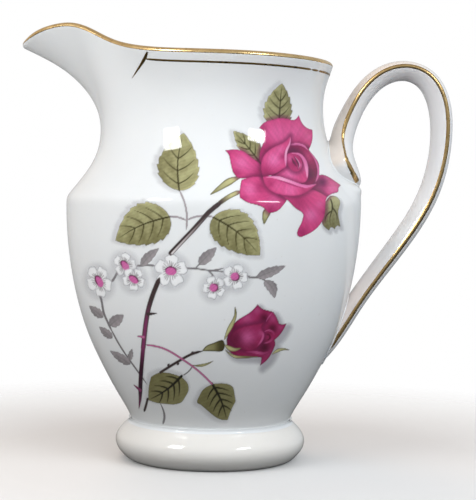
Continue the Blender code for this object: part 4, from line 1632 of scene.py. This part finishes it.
def porcelain_material(name, tinted=False, heights=()):
    """Clear glaze over a cool white body: faint clouding, a few pale specks, the glaze's slow ripple.

    A tinted one also takes painted light and shade from the mesh; one with heights takes painted
    shade and warm light by its height above the table.
    """
    n = Nodes.named(name)
    cloud = n.ramp(n.noise(45.0, 3.0), (0.3, (0.81, 0.835, 0.85)), (0.7, (0.85, 0.87, 0.88)))
    specks = n.ramp(n.noise(1400.0, 1.0), (0.76, (1, 1, 1)), (0.82, (0.90, 0.88, 0.86)))
    colour = n.mix(1.0, cloud, specks, "MULTIPLY")
    if tinted:
        tint = n.add("ShaderNodeVertexColor", layer_name="painted_light_tint").outputs["Color"]
        colour = n.mix(1.0, colour, tint, "MULTIPLY")
    # Painted shade and warm light by height above the table, multiplied into the glaze's colour
    if heights:
        place = n.add("ShaderNodeSeparateXYZ")
        n.link(n.place, place.inputs["Vector"])
        share = n.span(place.outputs["Z"], 0.0, 1.0, 0.0, PAINTED_TONE_HEIGHT)
        colour = n.mix(1.0, colour, n.ramp(share, *heights), "MULTIPLY")
    n.set(Base_Color=colour)
    n.set(Subsurface_Weight=0.12, Subsurface_Scale=0.002, Subsurface_Radius=(1.0, 0.9, 0.8))
    glaze_surface(n)
    return n.material


def print_material():
    """Ceramic colours under the glaze, with the fine grain of a printed transfer."""
    n = Nodes.named("rose_print_colours")
    ink = n.add("ShaderNodeVertexColor", layer_name="print_colour")
    grain = n.ramp(n.noise(2600.0, 1.0), (0.3, (0.95, 0.95, 0.95)), (0.7, (1.0, 1.0, 1.0)))
    n.set(Base_Color=n.mix(1.0, ink.outputs["Color"], grain, "MULTIPLY"), Alpha=ink.outputs["Alpha"])
    glaze_surface(n)
    return n.material


def gold_material():
    """Gold laid on with a brush: dark bronze where thin and on the neck as painted shade, bright where thick,
    a little worn.
    """
    n = Nodes.named("bright_gold_brushed")
    tone = n.add("ShaderNodeVertexColor", layer_name="gold_tone").outputs["Color"]
    colour = n.ramp(tone, (0.0, (0.13, 0.085, 0.035)), (0.5, (0.50, 0.33, 0.13)), (1.0, (0.88, 0.63, 0.31)))
    clouds = n.ramp(n.noise(350.0, 2.0), (0.3, (0.82, 0.78, 0.70)), (0.7, (1.0, 1.0, 1.0)))
    n.set(Base_Color=n.mix(1.0, colour, clouds, "MULTIPLY"), Metallic=1.0)
    n.set(Roughness=n.span(n.noise(700.0, 2.0), 0.24, 0.34, 0.3, 0.7))
    n.bump(n.noise(600.0, 1.0), 0.04, 0.00002)
    return n.material


def floor_material():
    """A pale floor that fades out round the jug, and throws little light back up on to it."""
    n = Nodes.named("pale_floor")
    seen = n.ramp(n.noise(3.0, 2.0), *FLOOR_TONES)
    dulled = n.mix(1.0, seen, FLOOR_DULLED, "MULTIPLY")
    by_camera = n.add("ShaderNodeLightPath").outputs["Is Camera Ray"]
    n.set(Base_Color=n.mix(by_camera, dulled, seen))
    reach = n.add("ShaderNodeVectorMath", operation="LENGTH")
    n.link(n.place, reach.inputs[0])
    n.set(Roughness=0.6, Alpha=n.span(reach.outputs["Value"], 1.0, 0.0, *FLOOR_FADE))
    return n.material


# ---------------------------------------------------------------- stage


def make_camera():
    data = bpy.data.cameras.new("camera")
    data.lens = CAMERA_LENS
    data.clip_start = 0.01
    camera = bpy.data.objects.new("camera", data)
    camera.location = (AXIS_X + CAMERA_RIGHT * MM, -CAMERA_DISTANCE * MM, CAMERA_HEIGHT * MM)
    aim = Vector((0, 1, -math.tan(math.radians(CAMERA_TILT_DOWN))))
    roll = Quaternion((0, 0, 1), math.radians(CAMERA_ROLL))
    camera.rotation_mode = "QUATERNION"
    camera.rotation_quaternion = aim.to_track_quat("-Z", "Y") @ roll
    bpy.context.scene.collection.objects.link(camera)
    bpy.context.scene.camera = camera


def make_floor():
    bm = bmesh.new()
    bmesh.ops.create_circle(bm, cap_ends=True, radius=FLOOR_RADIUS, segments=96)
    mesh = bpy.data.meshes.new("floor")
    bm.to_mesh(mesh)
    bm.free()
    mesh.materials.append(floor_material())
    floor = bpy.data.objects.new("floor", mesh)
    bpy.context.scene.collection.objects.link(floor)


def area_light(name, place, aim, size, power, colour):
    data = bpy.data.lights.new(name, "AREA")
    data.shape = "RECTANGLE"
    data.size, data.size_y = size
    data.energy = power
    data.color = colour
    light = bpy.data.objects.new(name, data)
    light.location = place
    light.rotation_mode = "QUATERNION"
    light.rotation_quaternion = (Vector(aim) - Vector(place)).to_track_quat("-Z", "Y")
    light.visible_camera = False
    bpy.context.scene.collection.objects.link(light)
    return light


def make_world():
    """A plain room for light and reflections, behind a white backdrop for the camera."""
    world = bpy.data.worlds.new("studio")
    bpy.context.scene.world = world
    n = Nodes(world)
    warm = n.add("ShaderNodeVectorMath", operation="DOT_PRODUCT")
    warm.inputs[1].default_value = WARM_SIDE
    direction = n.add("ShaderNodeTexCoord").outputs["Generated"]
    n.link(direction, warm.inputs[0])
    tint = n.ramp(n.span(warm.outputs["Value"], 0.0, 1.0, *WARM_SPREAD), (0.0, COOL_ROOM), (1.0, WARM_ROOM))
    upward = n.add("ShaderNodeSeparateXYZ")
    n.link(direction, upward.inputs["Vector"])
    share = n.span(upward.outputs["Z"], 0.0, 1.0, -1.0, 1.0)
    dim = n.ramp(share, *[((height + 1) / 2, (bright,) * 3) for height, bright in ROOM_HEIGHTS])
    room = n.tree.nodes["Background"]
    n.link(n.mix(1.0, tint, dim, "MULTIPLY"), room.inputs["Color"])
    room.inputs["Strength"].default_value = ROOM_STRENGTH
    backdrop = n.add("ShaderNodeBackground")
    backdrop.inputs["Color"].default_value = (1, 1, 1, 1)
    either = n.add("ShaderNodeMixShader")
    n.link(n.add("ShaderNodeLightPath").outputs["Is Camera Ray"], either.inputs[0])
    n.link(room.outputs[0], either.inputs[1])
    n.link(backdrop.outputs[0], either.inputs[2])
    n.link(either.outputs[0], n.tree.nodes["World Output"].inputs["Surface"])


def placed_light(name, azimuth, elevation, size, radiance, colour, seen):
    """A softbox aimed at the jug's neck, seen either by reflections only or by soft light only."""
    turn, lift = math.radians(azimuth), math.radians(elevation)
    level = LIGHT_DISTANCE * math.cos(lift)
    aim = Vector((AXIS_X, 0, LIGHT_AIM_HEIGHT))
    high = LIGHT_DISTANCE * math.sin(lift)
    place = aim + Vector((level * math.sin(turn), -level * math.cos(turn), high))
    light = area_light(name, place, aim, size, radiance * math.pi * size[0] * size[1], colour)
    light.visible_diffuse = seen == "diffuse"
    light.visible_glossy = seen == "glossy"


def make_lights():
    for light in LIGHTS:
        placed_light(*light)


def main():
    bpy.context.scene.view_settings.view_transform = "Standard"
    make_camera()
    glaze = porcelain_material("glazed_porcelain_white", heights=BODY_PAINTED_SHADE)
    slip = porcelain_material("fired_slip_white")
    gold = gold_material()
    make_body(glaze)
    make_foot(porcelain_material("glazed_porcelain_foot", heights=FOOT_PAINTED_WARM_LIGHT))
    make_foot_slip(slip)
    make_handle(porcelain_material("glazed_porcelain_handle", tinted=True))
    make_handle_slips(slip)
    make_rim_gold(gold)
    make_neck_gold(gold)
    make_handle_gold(gold)
    make_prints(print_material())
    make_floor()
    make_lights()
    make_world()


main()
